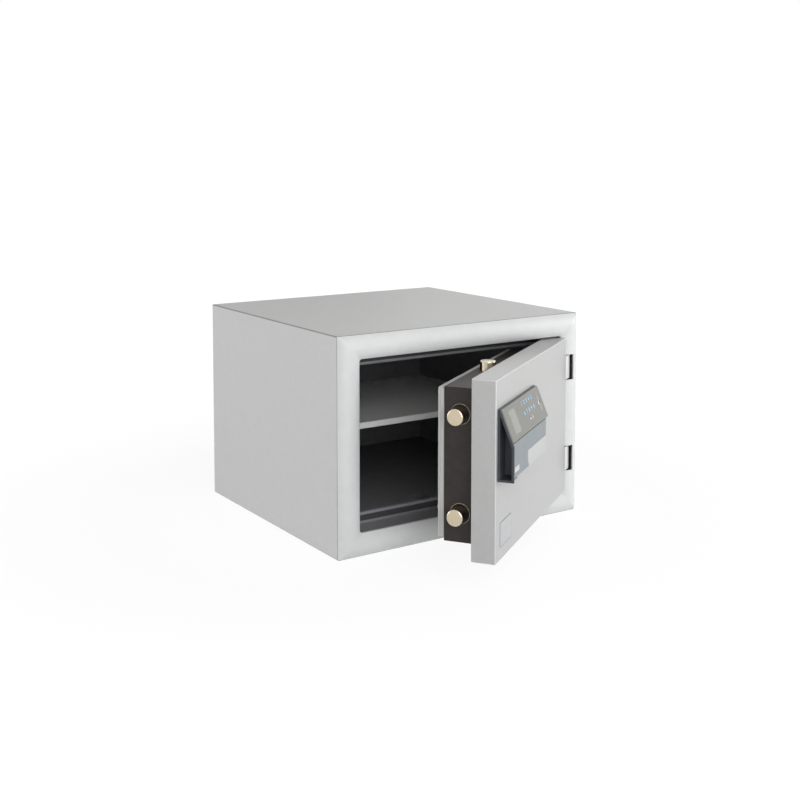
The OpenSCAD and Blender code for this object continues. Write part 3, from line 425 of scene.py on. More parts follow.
def new_tree(name, **sizes):
    """A Geometry Nodes tree with named inputs, listed by their kind.
    Returns it, the function that adds its nodes, and its inputs."""
    tree = bpy.data.node_groups.new(name, "GeometryNodeTree")
    for in_out in ("INPUT", "OUTPUT"):
        tree.interface.new_socket("Geometry", in_out=in_out, socket_type="NodeSocketGeometry")
    for kind, labels in sizes.items():
        for label in labels.split(", "):
            tree.interface.new_socket(label, in_out="INPUT", socket_type="NodeSocket" + kind)
    add = partial(add_node, tree)
    return tree, add, add("NodeGroupInput").node.outputs


def close_tree(tree, geometry, size):
    """Ends a tree with real geometry in one material."""
    real = add_node(tree, "GeometryNodeRealizeInstances", [geometry])
    painted = add_node(tree, "GeometryNodeSetMaterial", {"Geometry": real, "Material": size["Material"]})
    add_node(tree, "NodeGroupOutput", [painted])
    return tree


def in_rounds(add, number, length):
    """Where a number stands in rounds of a length: how far into its round, and in which one."""
    share = add(SUM, [number, length], "DIVIDE")
    return add(SUM, [number, length], "MODULO"), add(SUM, [share], "FLOOR")


def grown(name, tree, values, place=None, smooth_below=30):
    """Runs a tree on an empty mesh and returns the result as a plain piece, in its place."""
    holder = object_of(bpy.data.meshes.new(name), name + "_rule")
    modifier = holder.modifiers.new("Rule", "NODES")
    modifier.node_group = tree
    for item in tree.interface.items_tree:
        if item.name in values:
            modifier[item.identifier] = values[item.name]
    bpy.context.view_layer.update()
    mesh = bpy.data.meshes.new_from_object(holder.evaluated_get(bpy.context.evaluated_depsgraph_get()))
    bpy.data.objects.remove(holder)
    mesh.name = name
    if place is not None:
        mesh.transform(place)
    smoothed(mesh, smooth_below)
    return object_of(mesh, name)


def rows_tree():
    """Sets like pieces out in rows, such as bolts, rings and screws."""
    tree, add, size = new_tree("Rows of like pieces", Object="Piece", Int="Columns, Rows",
                               Vector="Start, Across, Up, Turn step", Material="Material")
    count = add(SUM, [size["Columns"], size["Rows"]], "MULTIPLY")
    points = add("GeometryNodeMeshLine", {"Count": count})
    column, row = in_rounds(add, add("GeometryNodeInputIndex"), size["Columns"])
    across = add(VECTOR_SUM, [size["Across"], column, size["Start"]], "MULTIPLY_ADD")
    place = add(VECTOR_SUM, [size["Up"], row, across], "MULTIPLY_ADD")
    spots = add("GeometryNodeSetPosition", {"Geometry": points, "Position": place})
    turn = add(VECTOR_SUM, [size["Turn step"], row], "MULTIPLY")
    placed = add("GeometryNodeInstanceOnPoints", {
        "Points": spots, "Rotation": add("FunctionNodeEulerToRotation", [turn]),
        "Instance": add("GeometryNodeObjectInfo", {"Object": size["Piece"]}, output="Geometry")})
    return close_tree(tree, placed, size)


def in_rows(name, piece, finish, start, across=(0, 0, 0), up=(0, 0, 0), columns=1, rows=2,
            turn_step=(0, 0, 0)):
    """Copies of a piece in rows on the door, as one piece; the copied one goes."""
    tree = bpy.data.node_groups.get("Rows of like pieces") or rows_tree()
    made = grown(name, tree, {
        "Piece": piece, "Columns": columns, "Rows": rows, "Start": start, "Across": across, "Up": up,
        "Turn step": turn_step, "Material": materials[finish]}, opened)
    bpy.data.objects.remove(piece)
    return made


def signs_tree():
    """Sets the signs of a text out in rows, as thin closed prints."""
    tree, add, size = new_tree("Printed signs in rows", String="Signs", Float="Size, Thickness",
                               Int="Columns", Vector="Pitch, First", Material="Material")
    text = add("GeometryNodeStringToCurves", {"String": size["Signs"], "Size": size["Size"]},
               pivot_mode="MIDPOINT")
    steps = in_rounds(add, add("GeometryNodeInputIndex"), size["Columns"])
    moved = add("ShaderNodeCombineXYZ", steps)
    place = add(VECTOR_SUM, [size["Pitch"], moved, size["First"]], "MULTIPLY_ADD")
    spots = add("GeometryNodeSetPosition", {"Geometry": text, "Position": place})
    flat = add("GeometryNodeFillCurve", [add("GeometryNodeRealizeInstances", [spots])])
    raised = add("GeometryNodeExtrudeMesh", {"Mesh": flat, "Offset": (0, 0, 1),
                                             "Offset Scale": size["Thickness"], "Individual": False})
    both = add("GeometryNodeJoinGeometry", [add("GeometryNodeFlipFaces", [flat])])
    tree.links.new(raised, both.node.inputs["Geometry"])
    closed = add("GeometryNodeMergeByDistance", {"Geometry": both, "Distance": SAME_POINT})
    return close_tree(tree, closed, size)


def frame_tree():
    """The rolled frame: one section carried round a rectangle, mitred at its corners."""
    tree, add, size = new_tree(
        "Rolled frame with mitred corners", Int="Steps, Corner steps", Material="Material",
        Float="Width, Height, Front, Bar width, Rise, Lip, Return, Sheet, Seam, Corner, Inner corner",
        Vector="Cut-out, First cut-out, Cut-out spacing")

    # The roll rises from the seam to the crest at half its width and falls to the lip
    middle = add(SUM, [size["Bar width"], 0.5], "MULTIPLY")
    ends = {"Start": (size["Seam"], size["Seam"]), "Middle": (middle, size["Rise"]),
            "End": (size["Bar width"], size["Lip"])}
    points = {name: add("ShaderNodeCombineXYZ", place) for name, place in ends.items()}
    roll = add("GeometryNodeCurveArc", {"Resolution": 64, **points}, mode="POINTS")

    # The grid's rows go round the section: along the outside of the roll, over the return at its
    # inner edge in two rows, and back along the inside. Its columns go round the four corners
    loop = add(SUM, [size["Steps"], 2.0, 4.0], "MULTIPLY_ADD")
    corner_columns = add(SUM, [size["Corner steps"], 1.0], "ADD")
    columns = add(SUM, [corner_columns, 4.0, 1.0], "MULTIPLY_ADD")
    rows = add(SUM, [loop, 1.0], "ADD")
    grid = add("GeometryNodeMeshGrid", {"Vertices X": rows, "Vertices Y": columns})
    column, line = in_rounds(add, add("GeometryNodeInputIndex"), columns)
    row = add(SUM, [line, loop], "MODULO")

    # Across the bar and forwards, for a point of the section
    last = add(SUM, [loop, 1.0], "SUBTRACT")
    turned_back = add(SUM, [last, row], "SUBTRACT")
    step = add(SUM, [row, turned_back], "MINIMUM")
    share = add(SUM, [step, size["Steps"]], "DIVIDE")
    inside = add(SUM, [row, turned_back], "GREATER_THAN")
    sheet = add(SUM, [inside, size["Sheet"]], "MULTIPLY")
    point = add("GeometryNodeSampleCurve", {"Curves": roll, "Factor": share}, output="Position",
                mode="FACTOR", data_type="FLOAT")
    outwards = add(VECTOR_SUM, [point, roll.node.outputs["Center"]], "SUBTRACT")
    normal = add(VECTOR_SUM, [outwards], "NORMALIZE")
    sunk = add(VECTOR_SUM, {0: normal, "Scale": sheet}, "SCALE")
    rolled = add(VECTOR_SUM, [point, sunk], "SUBTRACT")
    section = add("ShaderNodeSeparateXYZ", [rolled]).node.outputs
    wall = add(SUM, [size["Bar width"], sheet], "SUBTRACT")
    on_return = add(SUM, [share, 1.0], "GREATER_THAN")
    return_end = add(SUM, [size["Lip"], size["Return"]], "SUBTRACT")
    rolled_across = add(SUM, [section["X"], wall], "MINIMUM")
    across, forwards = (
        add("GeometryNodeSwitch", {"Switch": on_return, "False": on_roll, "True": on_edge},
            input_type="FLOAT")
        for on_roll, on_edge in ((rolled_across, wall), (section["Y"], return_end)))

    # Round the rectangle: the corner that a column belongs to, and how far round it is
    corner_step, corner = in_rounds(add, column, corner_columns)
    round_share = add(SUM, [corner_step, size["Corner steps"]], "DIVIDE")
    quarter = math.pi / 2
    diagonal = add(SUM, [corner, quarter, quarter / 2], "MULTIPLY_ADD")
    quarters = add(SUM, [corner, round_share], "ADD")
    angle = add(SUM, [quarters, quarter], "MULTIPLY")
    inwards = add(SUM, [across, size["Bar width"]], "DIVIDE")
    growth = add(SUM, [size["Inner corner"], size["Corner"]], "SUBTRACT")
    radius = add(SUM, [growth, inwards, size["Corner"]], "MULTIPLY_ADD")
    inset = add(SUM, [across, radius], "ADD")
    places = []
    for operation, extent in (("COSINE", "Width"), ("SINE", "Height")):
        side = add(SUM, [add(SUM, [diagonal], operation), math.sqrt(2)], "MULTIPLY")
        half = add(SUM, [size[extent], 0.5], "MULTIPLY")
        reach = add(SUM, [half, inset], "SUBTRACT")
        straight = add(SUM, [side, reach], "MULTIPLY")
        bend = add(SUM, [angle], operation)
        places.append(add(SUM, [bend, radius, straight], "MULTIPLY_ADD"))
    front = add(SUM, [size["Front"], forwards], "SUBTRACT")
    level = add(SUM, [size["Height"], 0.5, places[1]], "MULTIPLY_ADD")
    place = add("ShaderNodeCombineXYZ", [places[0], front, level])
    bent = add("GeometryNodeSetPosition", {"Geometry": grid, "Position": place})
    closed = add("GeometryNodeMergeByDistance", {"Geometry": bent, "Distance": SAME_POINT})

    # The hinge cut-outs
    spots = add("GeometryNodeMeshLine", {"Count": 2, "Start Location": size["First cut-out"],
                                         "Offset": size["Cut-out spacing"]}, mode="OFFSET")
    block = add("GeometryNodeMeshCube", [size["Cut-out"]])
    blocks = add("GeometryNodeInstanceOnPoints", {"Points": spots, "Instance": block})
    real = add("GeometryNodeRealizeInstances", [blocks])
    cut = add("GeometryNodeMeshBoolean", [closed, real], "DIFFERENCE", solver="EXACT")
    return close_tree(tree, cut, size)


# Sizes and colours that a user would change

def mm(name, description, *millimetres):
    """A length, or several in one, whose default is given in millimetres."""
    settings = {"name": name, "description": description, "unit": "LENGTH", "precision": 5}
    values = [value * MM for value in millimetres]
    if len(values) == 1:
        return bpy.props.FloatProperty(default=values[0], **settings)
    return bpy.props.FloatVectorProperty(default=values, size=len(values), **settings)


def colour_value(name, description, code):
    return bpy.props.StringProperty(name=name, description=description + ", as an sRGB hex code",
                                    default=code)


def share_value(name, description, value):
    return bpy.props.FloatProperty(name=name, description=description, default=value, min=0)


def angle_value(name, description, degrees):
    return bpy.props.FloatProperty(name=name, description=description, default=math.radians(degrees),
                                   subtype="ANGLE")


class SafeCamera(bpy.types.PropertyGroup):
    """Where the picture is taken from"""
    place: mm("Place", "Place of the camera", -1163.86, -1781.88, 641.44)
    heading: angle_value("Heading", "Turn of the camera from straight at the front", -33.631)
    tilt: angle_value("Tilt", "How far the camera looks down", 4.555)
    lens: bpy.props.FloatProperty(
        name="Lens", description="Focal length on a sensor 36 mm wide", default=54.067)
    shift: bpy.props.FloatProperty(
        name="Shift", description="Upward shift of the lens, as a share of the picture", default=-0.2)


# Each soft box: its direction from the safe, its width in metres and its strength
lamps = {"left_front": ((-0.3, -0.92, 0.24), 2.0, 0.5), "high_front": ((0.0, -0.55, 0.83), 2.0, 0.17),
         "right_front": ((0.85, -0.47, 0.22), 1.4, 0.42),
         "left_back": ((-0.84, 0.5, 0.2), 1.6, 0.27), "right_back": ((0.75, 0.62, 0.22), 1.8, 0.09)}


class SafeStudio(bpy.types.PropertyGroup):
    """Floor and light. The loop below adds each lamp's strength: the share of white that a card
    facing the lamp shows"""
    horizon: share_value("Horizon", "Strength of the even light from the level", 0.28)
    zenith: share_value("Zenith", "Strength of the even light from above", 0.06)
    distance: mm("Lamp distance", "Distance of the lamps from the safe", 3000)
    floor: colour_value("Floor", "Colour of the floor", "E0E1E3")
    floor_size: mm("Floor size", "Width of the floor", 12000)
    floor_glow: share_value("Floor glow", "White of the floor as the camera sees it", 1.07)
    shadow: share_value("Shadow", "How much of the shadow near the safe the camera sees", 0.15)
    shadow_near: mm("Shadow near", "Where the shadow starts to fade", 500)
    shadow_far: mm("Shadow far", "Where the shadow has faded", 1500)


for name, (_, _, strength) in lamps.items():
    words = name.replace("_", " ")
    SafeStudio.__annotations__[name] = share_value(
        words.capitalize(), "Strength of the soft light at the " + words, strength)


class SafeFinishes(bpy.types.PropertyGroup):
    """Colours and grain of the surfaces. The loop below gives each finish its two shades"""
    # Painted shade along the shell's folds, and a painted highlight along the door's edges
    shell_fold: colour_value("Shell, folds", "Colour along the folds of the outer shell", "8E8E8D")
    door_fold: colour_value("Door, folds", "Colour along the edges of the door", "D8D9D9")
    powder_grain: mm("Powder grain", "Size of the grain of the powder coat", 1)

    def shades(self, slot):
        """The darker and the lighter shade of a finish."""
        return getattr(self, slot + "_darker"), getattr(self, slot + "_lighter")


for slot, (_, name, *codes) in finishes.items():
    words = slot.replace("_", " ").capitalize()
    for shade, code in zip(("darker", "lighter"), codes):
        SafeFinishes.__annotations__[f"{slot}_{shade}"] = colour_value(
            f"{words}, {shade}", f"The {shade} shade of the {name.lower()}", code)


class SafeFrame(bpy.types.PropertyGroup):
    """Rolled front frame"""
    bar: mm("Bar width", "Width of the rolled frame", 38)
    rise: mm("Rise", "How far the roll stands in front of the cabinet", 11)
    lip: mm("Lip", "How far the inner edge stands in front of the cabinet", 5)
    inner_return: mm("Return", "Depth of the return at the inner edge", 4)
    sheet: mm("Sheet", "Thickness of the frame's sheet", 2)
    seam: mm("Seam", "Width of the joint between the shell and the frame", 0.6)
    corner: mm("Corner", "Radius of the frame's outer corners", 0.5)
    inner_corner: mm("Inner corner", "Radius of the frame's inner corners", 5)
    steps: bpy.props.IntProperty(name="Steps", description="Steps along the roll", default=24)
    corner_steps: bpy.props.IntProperty(name="Corner steps", description="Steps round a corner", default=10)
    pocket_plate: mm("Pocket plate", "Thickness of the hinge pockets' end plates", 3)
    pocket_sheet: mm("Pocket sheet", "Thickness of the hinge pockets' sides", 1.5)


class SafeBolts(bpy.types.PropertyGroup):
    """Bolts, their rings and the screws of the back cover"""
    edge: mm("Edge", "Radius of the round edge of a bolt", 2.2)
    neck: mm("Neck", "Radius of the neck behind a bolt", 6)
    ring_flange: mm("Ring flange", "Thickness of a ring outside the case", 2)
    ring_gap: mm("Ring gap", "Gap between a bolt and its ring", 0.05)
    ring_wall: mm("Ring wall", "Wall of a ring inside the case", 1.5)
    ring_edge: mm("Ring edge", "Radius of the outer edge of a ring", 1)
    socket: mm("Socket", "Half the width of a screw's hexagon socket", 2)
    socket_depth: mm("Socket depth", "Depth of a screw's hexagon socket", 1.8)


class SafeLock(bpy.types.PropertyGroup):
    """Signs, label and bare plate on the door"""
    first_digit: mm("First digit", "Middle of the upper left digit, across and up the panel", 84.8, 37.8)
    pitch: mm("Pitch", "Distance between digits, across and down", 12.8, 14.3)
    digit_size: mm("Digit size", "Type size of the digits", 8.6)
    key_sign: mm("Key sign", "Middle of the blue sign, across and up the panel", 105.3, 13.6)
    alarm_sign: mm("Alarm sign", "Middle of the red sign, across and up the panel", 117, 14.6)
    contacts: mm("Contacts", "Middle of the contacts on the sensor", 167, 26.6)
    contact: mm("Contact", "Width and height of a contact", 3.5, 6)
    print_raise: mm("Print", "Thickness of the print", 0.15)
    label_raise: mm("Label thickness", "Thickness of the label", 0.2)
    plate_raise: mm("Plate thickness", "Thickness of the contacts and of the bare plate's line", 0.3)
    face_raise: mm("Plate face", "Thickness of the bare plate's face", 0.5)
    label: mm("Label", "Left, lower edge, width and height of the label on the cover", 6, 7.8, 22.5, 7.8)
    plate: mm("Bare plate", "Left, lower edge, width and height of the plate on the door", 18, 17.5, 56, 37)
    plate_line: mm("Plate line", "Width of the line round the bare plate", 1)
    plate_corner: mm("Plate corner", "Radius of the corners of the bare plate", 3)


groups = {"safe_camera": SafeCamera, "safe_studio": SafeStudio, "safe_finishes": SafeFinishes,
          "safe_frame": SafeFrame, "safe_bolts": SafeBolts, "safe_lock": SafeLock}


class SAFE_OT_camera(bpy.types.Operator):
    """Sets the camera where the picture is taken from"""
    bl_idname = "safe.camera"
    bl_label = "Camera"

    def execute(self, context):
        view = context.scene.safe_camera
        camera = bpy.data.cameras.new("camera")
        camera.sensor_width = 36
        camera.lens = view.lens
        camera.shift_y = view.shift
        camera.clip_start = 0.05
        holder = bpy.data.objects.new("camera", camera)
        holder.location = view.place
        holder.rotation_euler = (math.pi / 2 - view.tilt, 0, view.heading)
        context.scene.collection.objects.link(holder)
        context.scene.camera = holder
        return {"FINISHED"}


class SAFE_OT_stage(bpy.types.Operator):
    """Lays a pale floor and lights it softly"""
    bl_idname = "safe.stage"
    bl_label = "Floor and light"

    def execute(self, context):
        studio = context.scene.safe_studio
        self.make_floor(studio)
        self.make_sky(context.scene, studio)
        for name, (direction, width, _) in lamps.items():
            self.make_lamp(name, Vector(direction), width, getattr(studio, name), studio.distance)
        context.scene.view_settings.view_transform = "Standard"
        return {"FINISHED"}

    def seen_directly(self, add):
        """A factor of 1 for what the camera sees, straight, mirrored or through glass."""
        ray = add("ShaderNodeLightPath").node.outputs
        factor = add(SUM, [ray["Is Camera Ray"], ray["Is Glossy Ray"]], "MAXIMUM")
        return add(SUM, [factor, ray["Is Transmission Ray"]], "MAXIMUM")

    def make_floor(self, studio):
        """The camera sees the floor as white, apart from a share of the shadow near the safe."""
        build = bmesh.new()
        bmesh.ops.create_grid(build, x_segments=1, y_segments=1, size=studio.floor_size / 2)
        floor = mesh_from(build, "floor")
        material = new_material("Pale studio floor", [studio.floor], Roughness=0.9)
        nodes = material.node_tree.nodes
        add = partial(add_node, material.node_tree)
        place = add("ShaderNodeTexCoord", output="Object")
        distance = add(VECTOR_SUM, [place], "LENGTH", "Value")
        faded = add("ShaderNodeMapRange", {
            "Value": distance, "From Min": studio.shadow_near, "From Max": studio.shadow_far,
            "To Min": 1 - studio.shadow})
        share = add(SUM, [self.seen_directly(add), faded], "MULTIPLY")
        white = add("ShaderNodeEmission", {"Color": WHITE, "Strength": studio.floor_glow})
        mix = add("ShaderNodeMixShader", [share, nodes["Principled BSDF"].outputs[0], white])
        material.node_tree.links.new(mix, nodes["Material Output"].inputs["Surface"])
        floor.data.materials.append(material)

    def make_sky(self, scene, studio):
        """Even light that falls off upwards; straight to the camera it is white."""
        world = bpy.data.worlds.new("studio")
        world.use_nodes = True
        world.node_tree.nodes.clear()
        add = partial(add_node, world.node_tree)
        direction = add("ShaderNodeTexCoord", output="Generated")
        height = add("ShaderNodeSeparateXYZ", [direction], output="Z")
        strength = add("ShaderNodeMapRange", {
            "Value": height, "To Min": studio.horizon, "To Max": studio.zenith})
        plain = add("ShaderNodeBackground", {"Color": WHITE, "Strength": strength})
        white = add("ShaderNodeBackground", {"Color": WHITE, "Strength": 1.0})
        mix = add("ShaderNodeMixShader", [self.seen_directly(add), plain, white])
        add("ShaderNodeOutputWorld", {"Surface": mix})
        scene.world = world

    def make_lamp(self, name, direction, width, share, distance):
        lamp = bpy.data.lights.new(name, "AREA")
        lamp.size = width
        # A white card at this distance sends back the lamp's watts over pi squared and distance squared
        lamp.energy = share * (math.pi * distance) ** 2
        holder = bpy.data.objects.new(name, lamp)
        middle = Vector((0, 0, (cad_box[0][2] + cad_box[1][2]) / 2))
        holder.location = middle + direction.normalized() * distance
        holder.rotation_euler = (-direction).to_track_quat("-Z", "Y").to_euler()
        bpy.context.scene.collection.objects.link(holder)


class SAFE_OT_materials(bpy.types.Operator):
    """Makes the materials and paints the construction nodes that keep their shape"""
    bl_idname = "safe.materials"
    bl_label = "Materials"

    # The finger sensor is smoother than the panel that it lies in
    own_finishes = {"finger_sensor": "sensor"}

    def execute(self, context):
        for slot, (make, name, _, _, *values) in finishes.items():
            materials[slot] = make(context.scene.safe_finishes, slot, name, *values)
        for node, part in frame["nodes"].items():
            for painted in part.material_slots:
                painted.material = materials[self.own_finishes.get(node, slot_of[node])]
        return {"FINISHED"}


class SAFE_OT_front_frame(bpy.types.Operator):
    """Rolls the front frame round the door opening, with its mitred corners"""
    bl_idname = "safe.front_frame"
    bl_label = "Front frame"

    def execute(self, context):
        sizes = context.scene.safe_frame
        low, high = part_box("outer_shell")
        lower, upper = solids("hinge_pockets", Matrix())
        right = lower.high.x - sizes.pocket_sheet
        left = high.x - sizes.bar - sizes.lip
        # The cutting block reaches from the front of the cabinet out past the roll
        reach = Vector((right - left, 2 * sizes.rise, lower.size.z - 2 * sizes.pocket_plate))
        first = Vector(((left + right) / 2, low.y - sizes.rise, lower.middle.z))
        # Each size goes to the input of the same name
        values = {size.name: getattr(sizes, size.identifier) for size in sizes.bl_rna.properties}
        values.update({
            "Width": high.x - low.x, "Height": high.z - low.z, "Front": low.y, "Cut-out": reach,
            "First cut-out": first, "Cut-out spacing": Vector((0, 0, upper.low.z - lower.low.z)),
            "Material": materials["frame_paint"]})
        piece = grown("front_frame_roll", frame_tree(), values, smooth_below=40)
        finish_piece(piece, "frame_paint", ["front_frame"], "cabinet")
        return {"FINISHED"}


class SAFE_OT_seams(bpy.types.Operator):
    """Lays strips in the joint between the shell and the frame as painted shade: dark above and below,
    mid grey at the sides"""
    bl_idname = "safe.seams"
    bl_label = "Seams"

    def execute(self, context):
        seam = context.scene.safe_frame.seam
        low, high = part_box("outer_shell")
        width, height = high.x - low.x, high.z - low.z
        gap, ends = 0.2 * seam, 3 * seam
        # Width, height and finish of a stretch, and the left and the lower edge of each
        # The strips paint the shade in the gap: seal black above and below, grey jamb plastic at the sides
        flat = (width - 2 * ends, 2 * seam, "seal")
        upright = (seam, height - 2 * ends, "jamb_plastic")
        stretches = {
            "upper_seam": (low.x + ends, high.z - gap - 2 * seam, *flat),
            "lower_seam": (low.x + ends, low.z + gap, *flat),
            "left_seam": (low.x + gap, low.z + ends, *upright),
            "right_seam": (high.x - gap - seam, low.z + ends, *upright)}
        front = Matrix.Translation((0, low.y, 0)) @ STANDING
        for name, (*spread, finish) in stretches.items():
            plate(name, round_corners(*spread, 0.4 * seam), 0.8 * seam, front, "seal", finish,
                  0.1 * seam, "cabinet")
        return {"FINISHED"}


class SAFE_OT_rounded_parts(bpy.types.Operator):
    """Rounds the sharp edges of the folded and moulded parts"""
    bl_idname = "safe.rounded_parts"
    bl_label = "Rounded parts"

    # Width of the rounding on each part, in millimetres
    widths = {"door_skin": 1.4, "boltwork_case": 0.8, "back_cover": 0.25, "lock_housing": 0.5,
              "touch_panel": 0.4, "lower_cover": 0.4, "lower_plate": 0.4, "hinge_arms": 0.8, "shelf": 0.6}
    # The hinges are painted like the frame that they sit in
    own_finishes = {"hinge_arms": "frame_paint"}

    def execute(self, context):
        for node, width in self.widths.items():
            piece = rounded_edges(mesh_from(merged(node), node + "_rounded"), width * MM)
            finish_piece(piece, slot_of[node], [node], body_of[node], self.own_finishes.get(node))
        return {"FINISHED"}


class SAFE_OT_bolts(bpy.types.Operator):
    """Turns the nickel plated bolts, with their round edges and necks"""
    bl_idname = "safe.bolts"
    bl_label = "Bolts"

    def turn_bolt(self, name, sizes, radius, length, full, place=None):
        """A bolt from the end of its neck up to its tip, with the tip at the origin."""
        edge = sizes.edge
        profile = [(0, -full), (sizes.neck, -full), (sizes.neck, -length), (radius - edge / 2, -length),
                   (radius, -length + edge / 2), *arc((radius - edge, -edge), edge, 0, 90), (0, 0)]
        return turned(name, profile, place)

    def execute(self, context):
        sizes = context.scene.safe_bolts
        lower, upper = solids("side_bolts")
        radius = lower.size.z / 2
        length = solids("bolt_carriage")[0].low.x - lower.low.x
        model = self.turn_bolt("bolt", sizes, radius, length, lower.size.x, TO_LEFT)
        tip = Vector((lower.low.x, lower.middle.y, lower.middle.z))
        pair = in_rows("side_bolts_turned", model, "nickel", tip, up=(0, 0, upper.low.z - lower.low.z))
        finish_piece(pair, "nickel", ["side_bolts"], body_of["side_bolts"])
        # Each bolt with its rod, and the corner of their boxes at the end that shows
        for bolt, rod, shown, turn in (("top_bolt", "top_rod", "high", Matrix()),
                                       ("bottom_bolt", "bottom_rod", "low", UPSIDE_DOWN)):
            box = solids(bolt)[0]
            end = getattr(box, shown).z
            length = abs(end - getattr(solids(rod)[0], shown).z)
            place = opened @ Matrix.Translation((*box.middle.xy, end)) @ turn
            piece = self.turn_bolt(bolt + "_turned", sizes, radius, length, box.size.z, place)
            finish_piece(piece, "nickel", [bolt], body_of[bolt])
        return {"FINISHED"}


class SAFE_OT_bolt_rings(bpy.types.Operator):
    """Turns the blackened rings that the bolts slide in, each with a bright nickel bead round its edge that is a
    painted highlight
    """
    bl_idname = "safe.bolt_rings"
    bl_label = "Bolt rings"

    def turn_ring(self, sizes, bore, flange, length):
        """A ring with its flange's back at the origin, looking up."""
        edge = sizes.ring_edge
        sleeve = bore + sizes.ring_wall
        top = sizes.ring_flange
        return turned("ring", [
            (bore, -length), (sleeve, -length), (sleeve, 0), (flange, 0),
            *arc((flange - edge, top - edge), edge, 0, 90), (bore + edge / 2, top),
            (bore, top - edge / 2), (bore, -length)])

    def turn_lip(self, sizes, bore, flange, length):
        """A thin bright nickel bead round the foot of the flange, put there as a painted highlight on the ring's
        edge.
        """
        bead = 0.3 * sizes.ring_edge
        outer = flange + bead / 3
        return turned("lip", [(flange - bead, 0), *arc((outer, bead), bead, -90, 90, steps=6),
                              (flange - bead, 2 * bead), (flange - bead, 0)])

    def execute(self, context):
        sizes = context.scene.safe_bolts
        bore = solids("side_bolts")[0].size.z / 2 + sizes.ring_gap
        # The bottom ring, the two side rings and the top ring
        bottom, lower, upper, top = sorted(solids("bolt_rings"), key=lambda box: box.low.z)
        flange = lower.size.z / 2
        length = lower.size.x - sizes.ring_flange
        face = Vector((lower.low.x + sizes.ring_flange, lower.middle.y, lower.middle.z))
        foot = Vector((bottom.middle.x, lower.middle.y, bottom.low.z + sizes.ring_flange))
        head = top.high.z - sizes.ring_flange
        for name, turn_one, finish, nodes in (("rings", self.turn_ring, "black_nickel", ["bolt_rings"]),
                                              ("lips", self.turn_lip, "nickel", [])):
            models = []
            for turn in (TO_LEFT, UPSIDE_DOWN):
                models.append(turn_one(sizes, bore, flange, length))
                models[-1].data.transform(turn)
            side_pair = in_rows("side_" + name, models[0], finish, face,
                                up=(0, 0, upper.low.z - lower.low.z))
            end_pair = in_rows("end_" + name, models[1], finish, foot, up=(0, 0, head - foot.z),
                               turn_step=(math.pi, 0, 0))
            for pair in (side_pair, end_pair):
                finish_piece(pair, "nickel", nodes, finish=finish)
        return {"FINISHED"}


class SAFE_OT_cover_screws(bpy.types.Operator):
    """Turns the dome headed screws of the back cover, with hexagon sockets"""
    bl_idname = "safe.cover_screws"
    bl_label = "Cover screws"

    def execute(self, context):
        sizes = context.scene.safe_bolts
        screws = solids("cover_screws")
        first = screws[0]
        back = solids("back_cover")[0].high.y
        radius = first.size.z / 2
        rise = first.high.y - back
        # The dome is part of a ball whose radius follows from its width and height
        ball = (radius ** 2 + rise ** 2) / (2 * rise)
        steps = 8
        heights = [rise * i / steps for i in range(steps)]
        dome = [(math.sqrt(ball ** 2 - (ball - rise + height) ** 2), height) for height in heights]
        dome = [point for point in dome if point[0] > 1.15 * sizes.socket]
        bottom = rise - sizes.socket_depth
        profile = [(0, 0), *dome, (sizes.socket, dome[-1][1]), (sizes.socket, bottom), (0, bottom)]
        # The socket's two rings are the ones before the last
        hexed = (len(profile) - 3, len(profile) - 2)
        model = turned("screw", profile, BACKWARDS, sides=48, hexed=hexed)
        start = Vector((first.middle.x, back, first.middle.z))
        across = screws[-1].low.x - first.low.x
        up = max(box.low.z for box in screws) - first.low.z
        piece = in_rows("cover_screws_turned", model, "bare_steel", start, across=(across, 0, 0),
                        up=(0, 0, up), columns=2)
        finish_piece(piece, "bare_steel", ["cover_screws"])
        return {"FINISHED"}


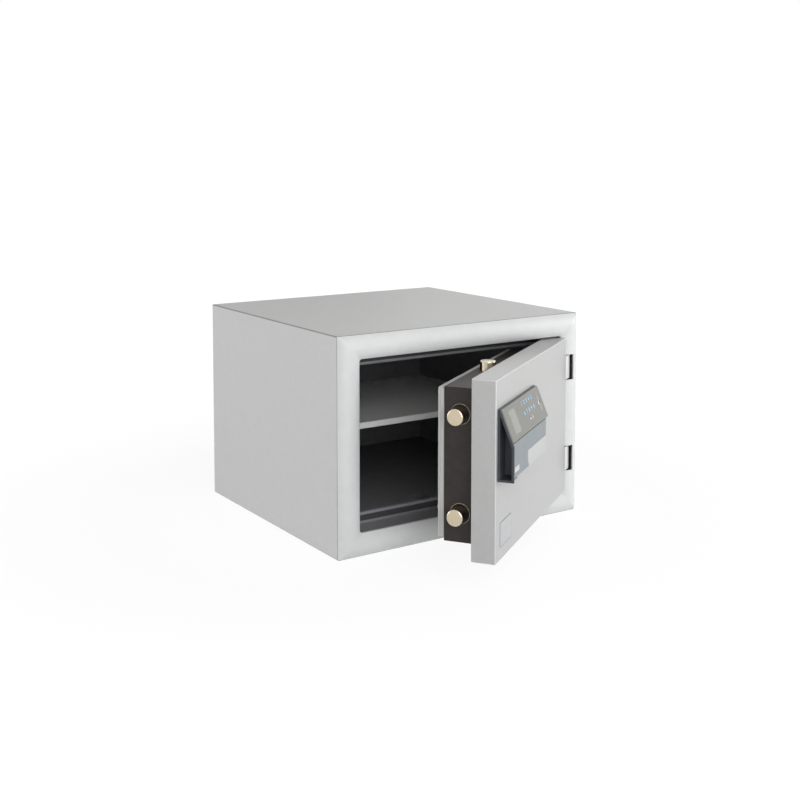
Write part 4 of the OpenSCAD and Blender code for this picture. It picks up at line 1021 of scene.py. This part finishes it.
class SAFE_OT_lock_signs(bpy.types.Operator):
    """Prints the digits and signs on the touch panel"""
    bl_idname = "safe.lock_signs"
    bl_label = "Lock signs"

    # Outline of each sign from its middle, in millimetres: an arrow and a bell
    outlines = {
        "key_sign": [(-2.8, -0.8), (0.2, -0.8), (0.2, -2.1), (2.8, 0), (0.2, 2.1), (0.2, 0.8), (-2.8, 0.8)],
        "alarm_sign": [(-2.4, -2.4), (2.4, -2.4), (1.7, -1), (1.5, 1.5), (0, 2.8), (-1.5, 1.5), (-1.7, -1)]}
    # Left edge of each contact from their middle, in millimetres, and its finish
    # The left contact is white enamel: a painted highlight on its metal
    contacts = {"left_contact": (-3.9, "shelf_paint"), "right_contact": (0.4, "black_nickel")}

    def execute(self, context):
        sizes = context.scene.safe_lock
        panel = face_place("touch_panel", DOOR_FRONT)
        digits = grown("digits", signs_tree(), {
            "Signs": "1234567890", "Size": sizes.digit_size, "Columns": 5,
            "Pitch": (sizes.pitch[0], -sizes.pitch[1], 0), "First": (*sizes.first_digit, 0),
            "Thickness": sizes.print_raise, "Material": materials["digits"]}, panel)
        finish_piece(digits, "panel_glass", finish="digits")
        for name, finish in (("key_sign", "digits"), ("alarm_sign", "alarm")):
            place = panel @ Matrix.Translation((*getattr(sizes, name), 0))
            outline = [(x * MM, y * MM) for x, y in self.outlines[name]]
            plate(name, outline, sizes.print_raise, place, "panel_glass", finish, sizes.print_raise / 4)
        place = panel @ Matrix.Translation((*sizes.contacts, 0))
        width, height = sizes.contact
        for name, (left, finish) in self.contacts.items():
            outline = round_corners(left * MM, -height / 2, width, height, height / 4)
            plate(name, outline, sizes.plate_raise, place, "nickel", finish)
        return {"FINISHED"}


class SAFE_OT_plates(bpy.types.Operator):
    """Fixes the bare plate on the door and the bare label on the lock unit"""
    bl_idname = "safe.plates"
    bl_label = "Bare plates"

    def execute(self, context):
        sizes = context.scene.safe_lock
        door = face_place("door_skin", DOOR_FRONT)
        left, low, width, height = sizes.plate
        line = sizes.plate_line
        corner = sizes.plate_corner
        outer = round_corners(left, low, width, height, corner)
        plate("bare_plate_rim", outer, sizes.plate_raise, door, "door_paint", "plate_line")
        inner = round_corners(left + line, low + line, width - 2 * line, height - 2 * line,
                              corner - 0.8 * line)
        plate("bare_plate_face", inner, sizes.face_raise, door, "door_paint", "plate_face")
        cover = face_place("lower_cover", DOOR_FRONT)
        outline = round_corners(*sizes.label, 4 * sizes.label_raise)
        plate("bare_label", outline, sizes.label_raise, cover, "pale_plastic", "label",
              sizes.label_raise / 4)
        return {"FINISHED"}


class SAFE_PT_panel(bpy.types.Panel):
    """Lists the operators in the order that they run"""
    bl_idname = "SAFE_PT_panel"
    bl_label = "Electronic safe"
    bl_space_type = "VIEW_3D"
    bl_region_type = "UI"
    bl_category = "Safe"

    def draw(self, context):
        for operator in operators:
            self.layout.operator(operator.bl_idname)


operators = [SAFE_OT_camera, SAFE_OT_stage, SAFE_OT_materials, SAFE_OT_front_frame, SAFE_OT_seams,
             SAFE_OT_rounded_parts, SAFE_OT_bolts, SAFE_OT_bolt_rings, SAFE_OT_cover_screws,
             SAFE_OT_lock_signs, SAFE_OT_plates]


kinds = [*groups.values(), *operators, SAFE_PT_panel]


def register():
    for kind in kinds:
        bpy.utils.register_class(kind)
    for name, group in groups.items():
        setattr(bpy.types.Scene, name, bpy.props.PointerProperty(type=group))


def unregister():
    for name in groups:
        delattr(bpy.types.Scene, name)
    for kind in reversed(kinds):
        bpy.utils.unregister_class(kind)


def main():
    register()
    for operator in operators:
        area, name = operator.bl_idname.split(".")
        getattr(getattr(bpy.ops, area), name)()


if __name__ == "__main__":
    main()
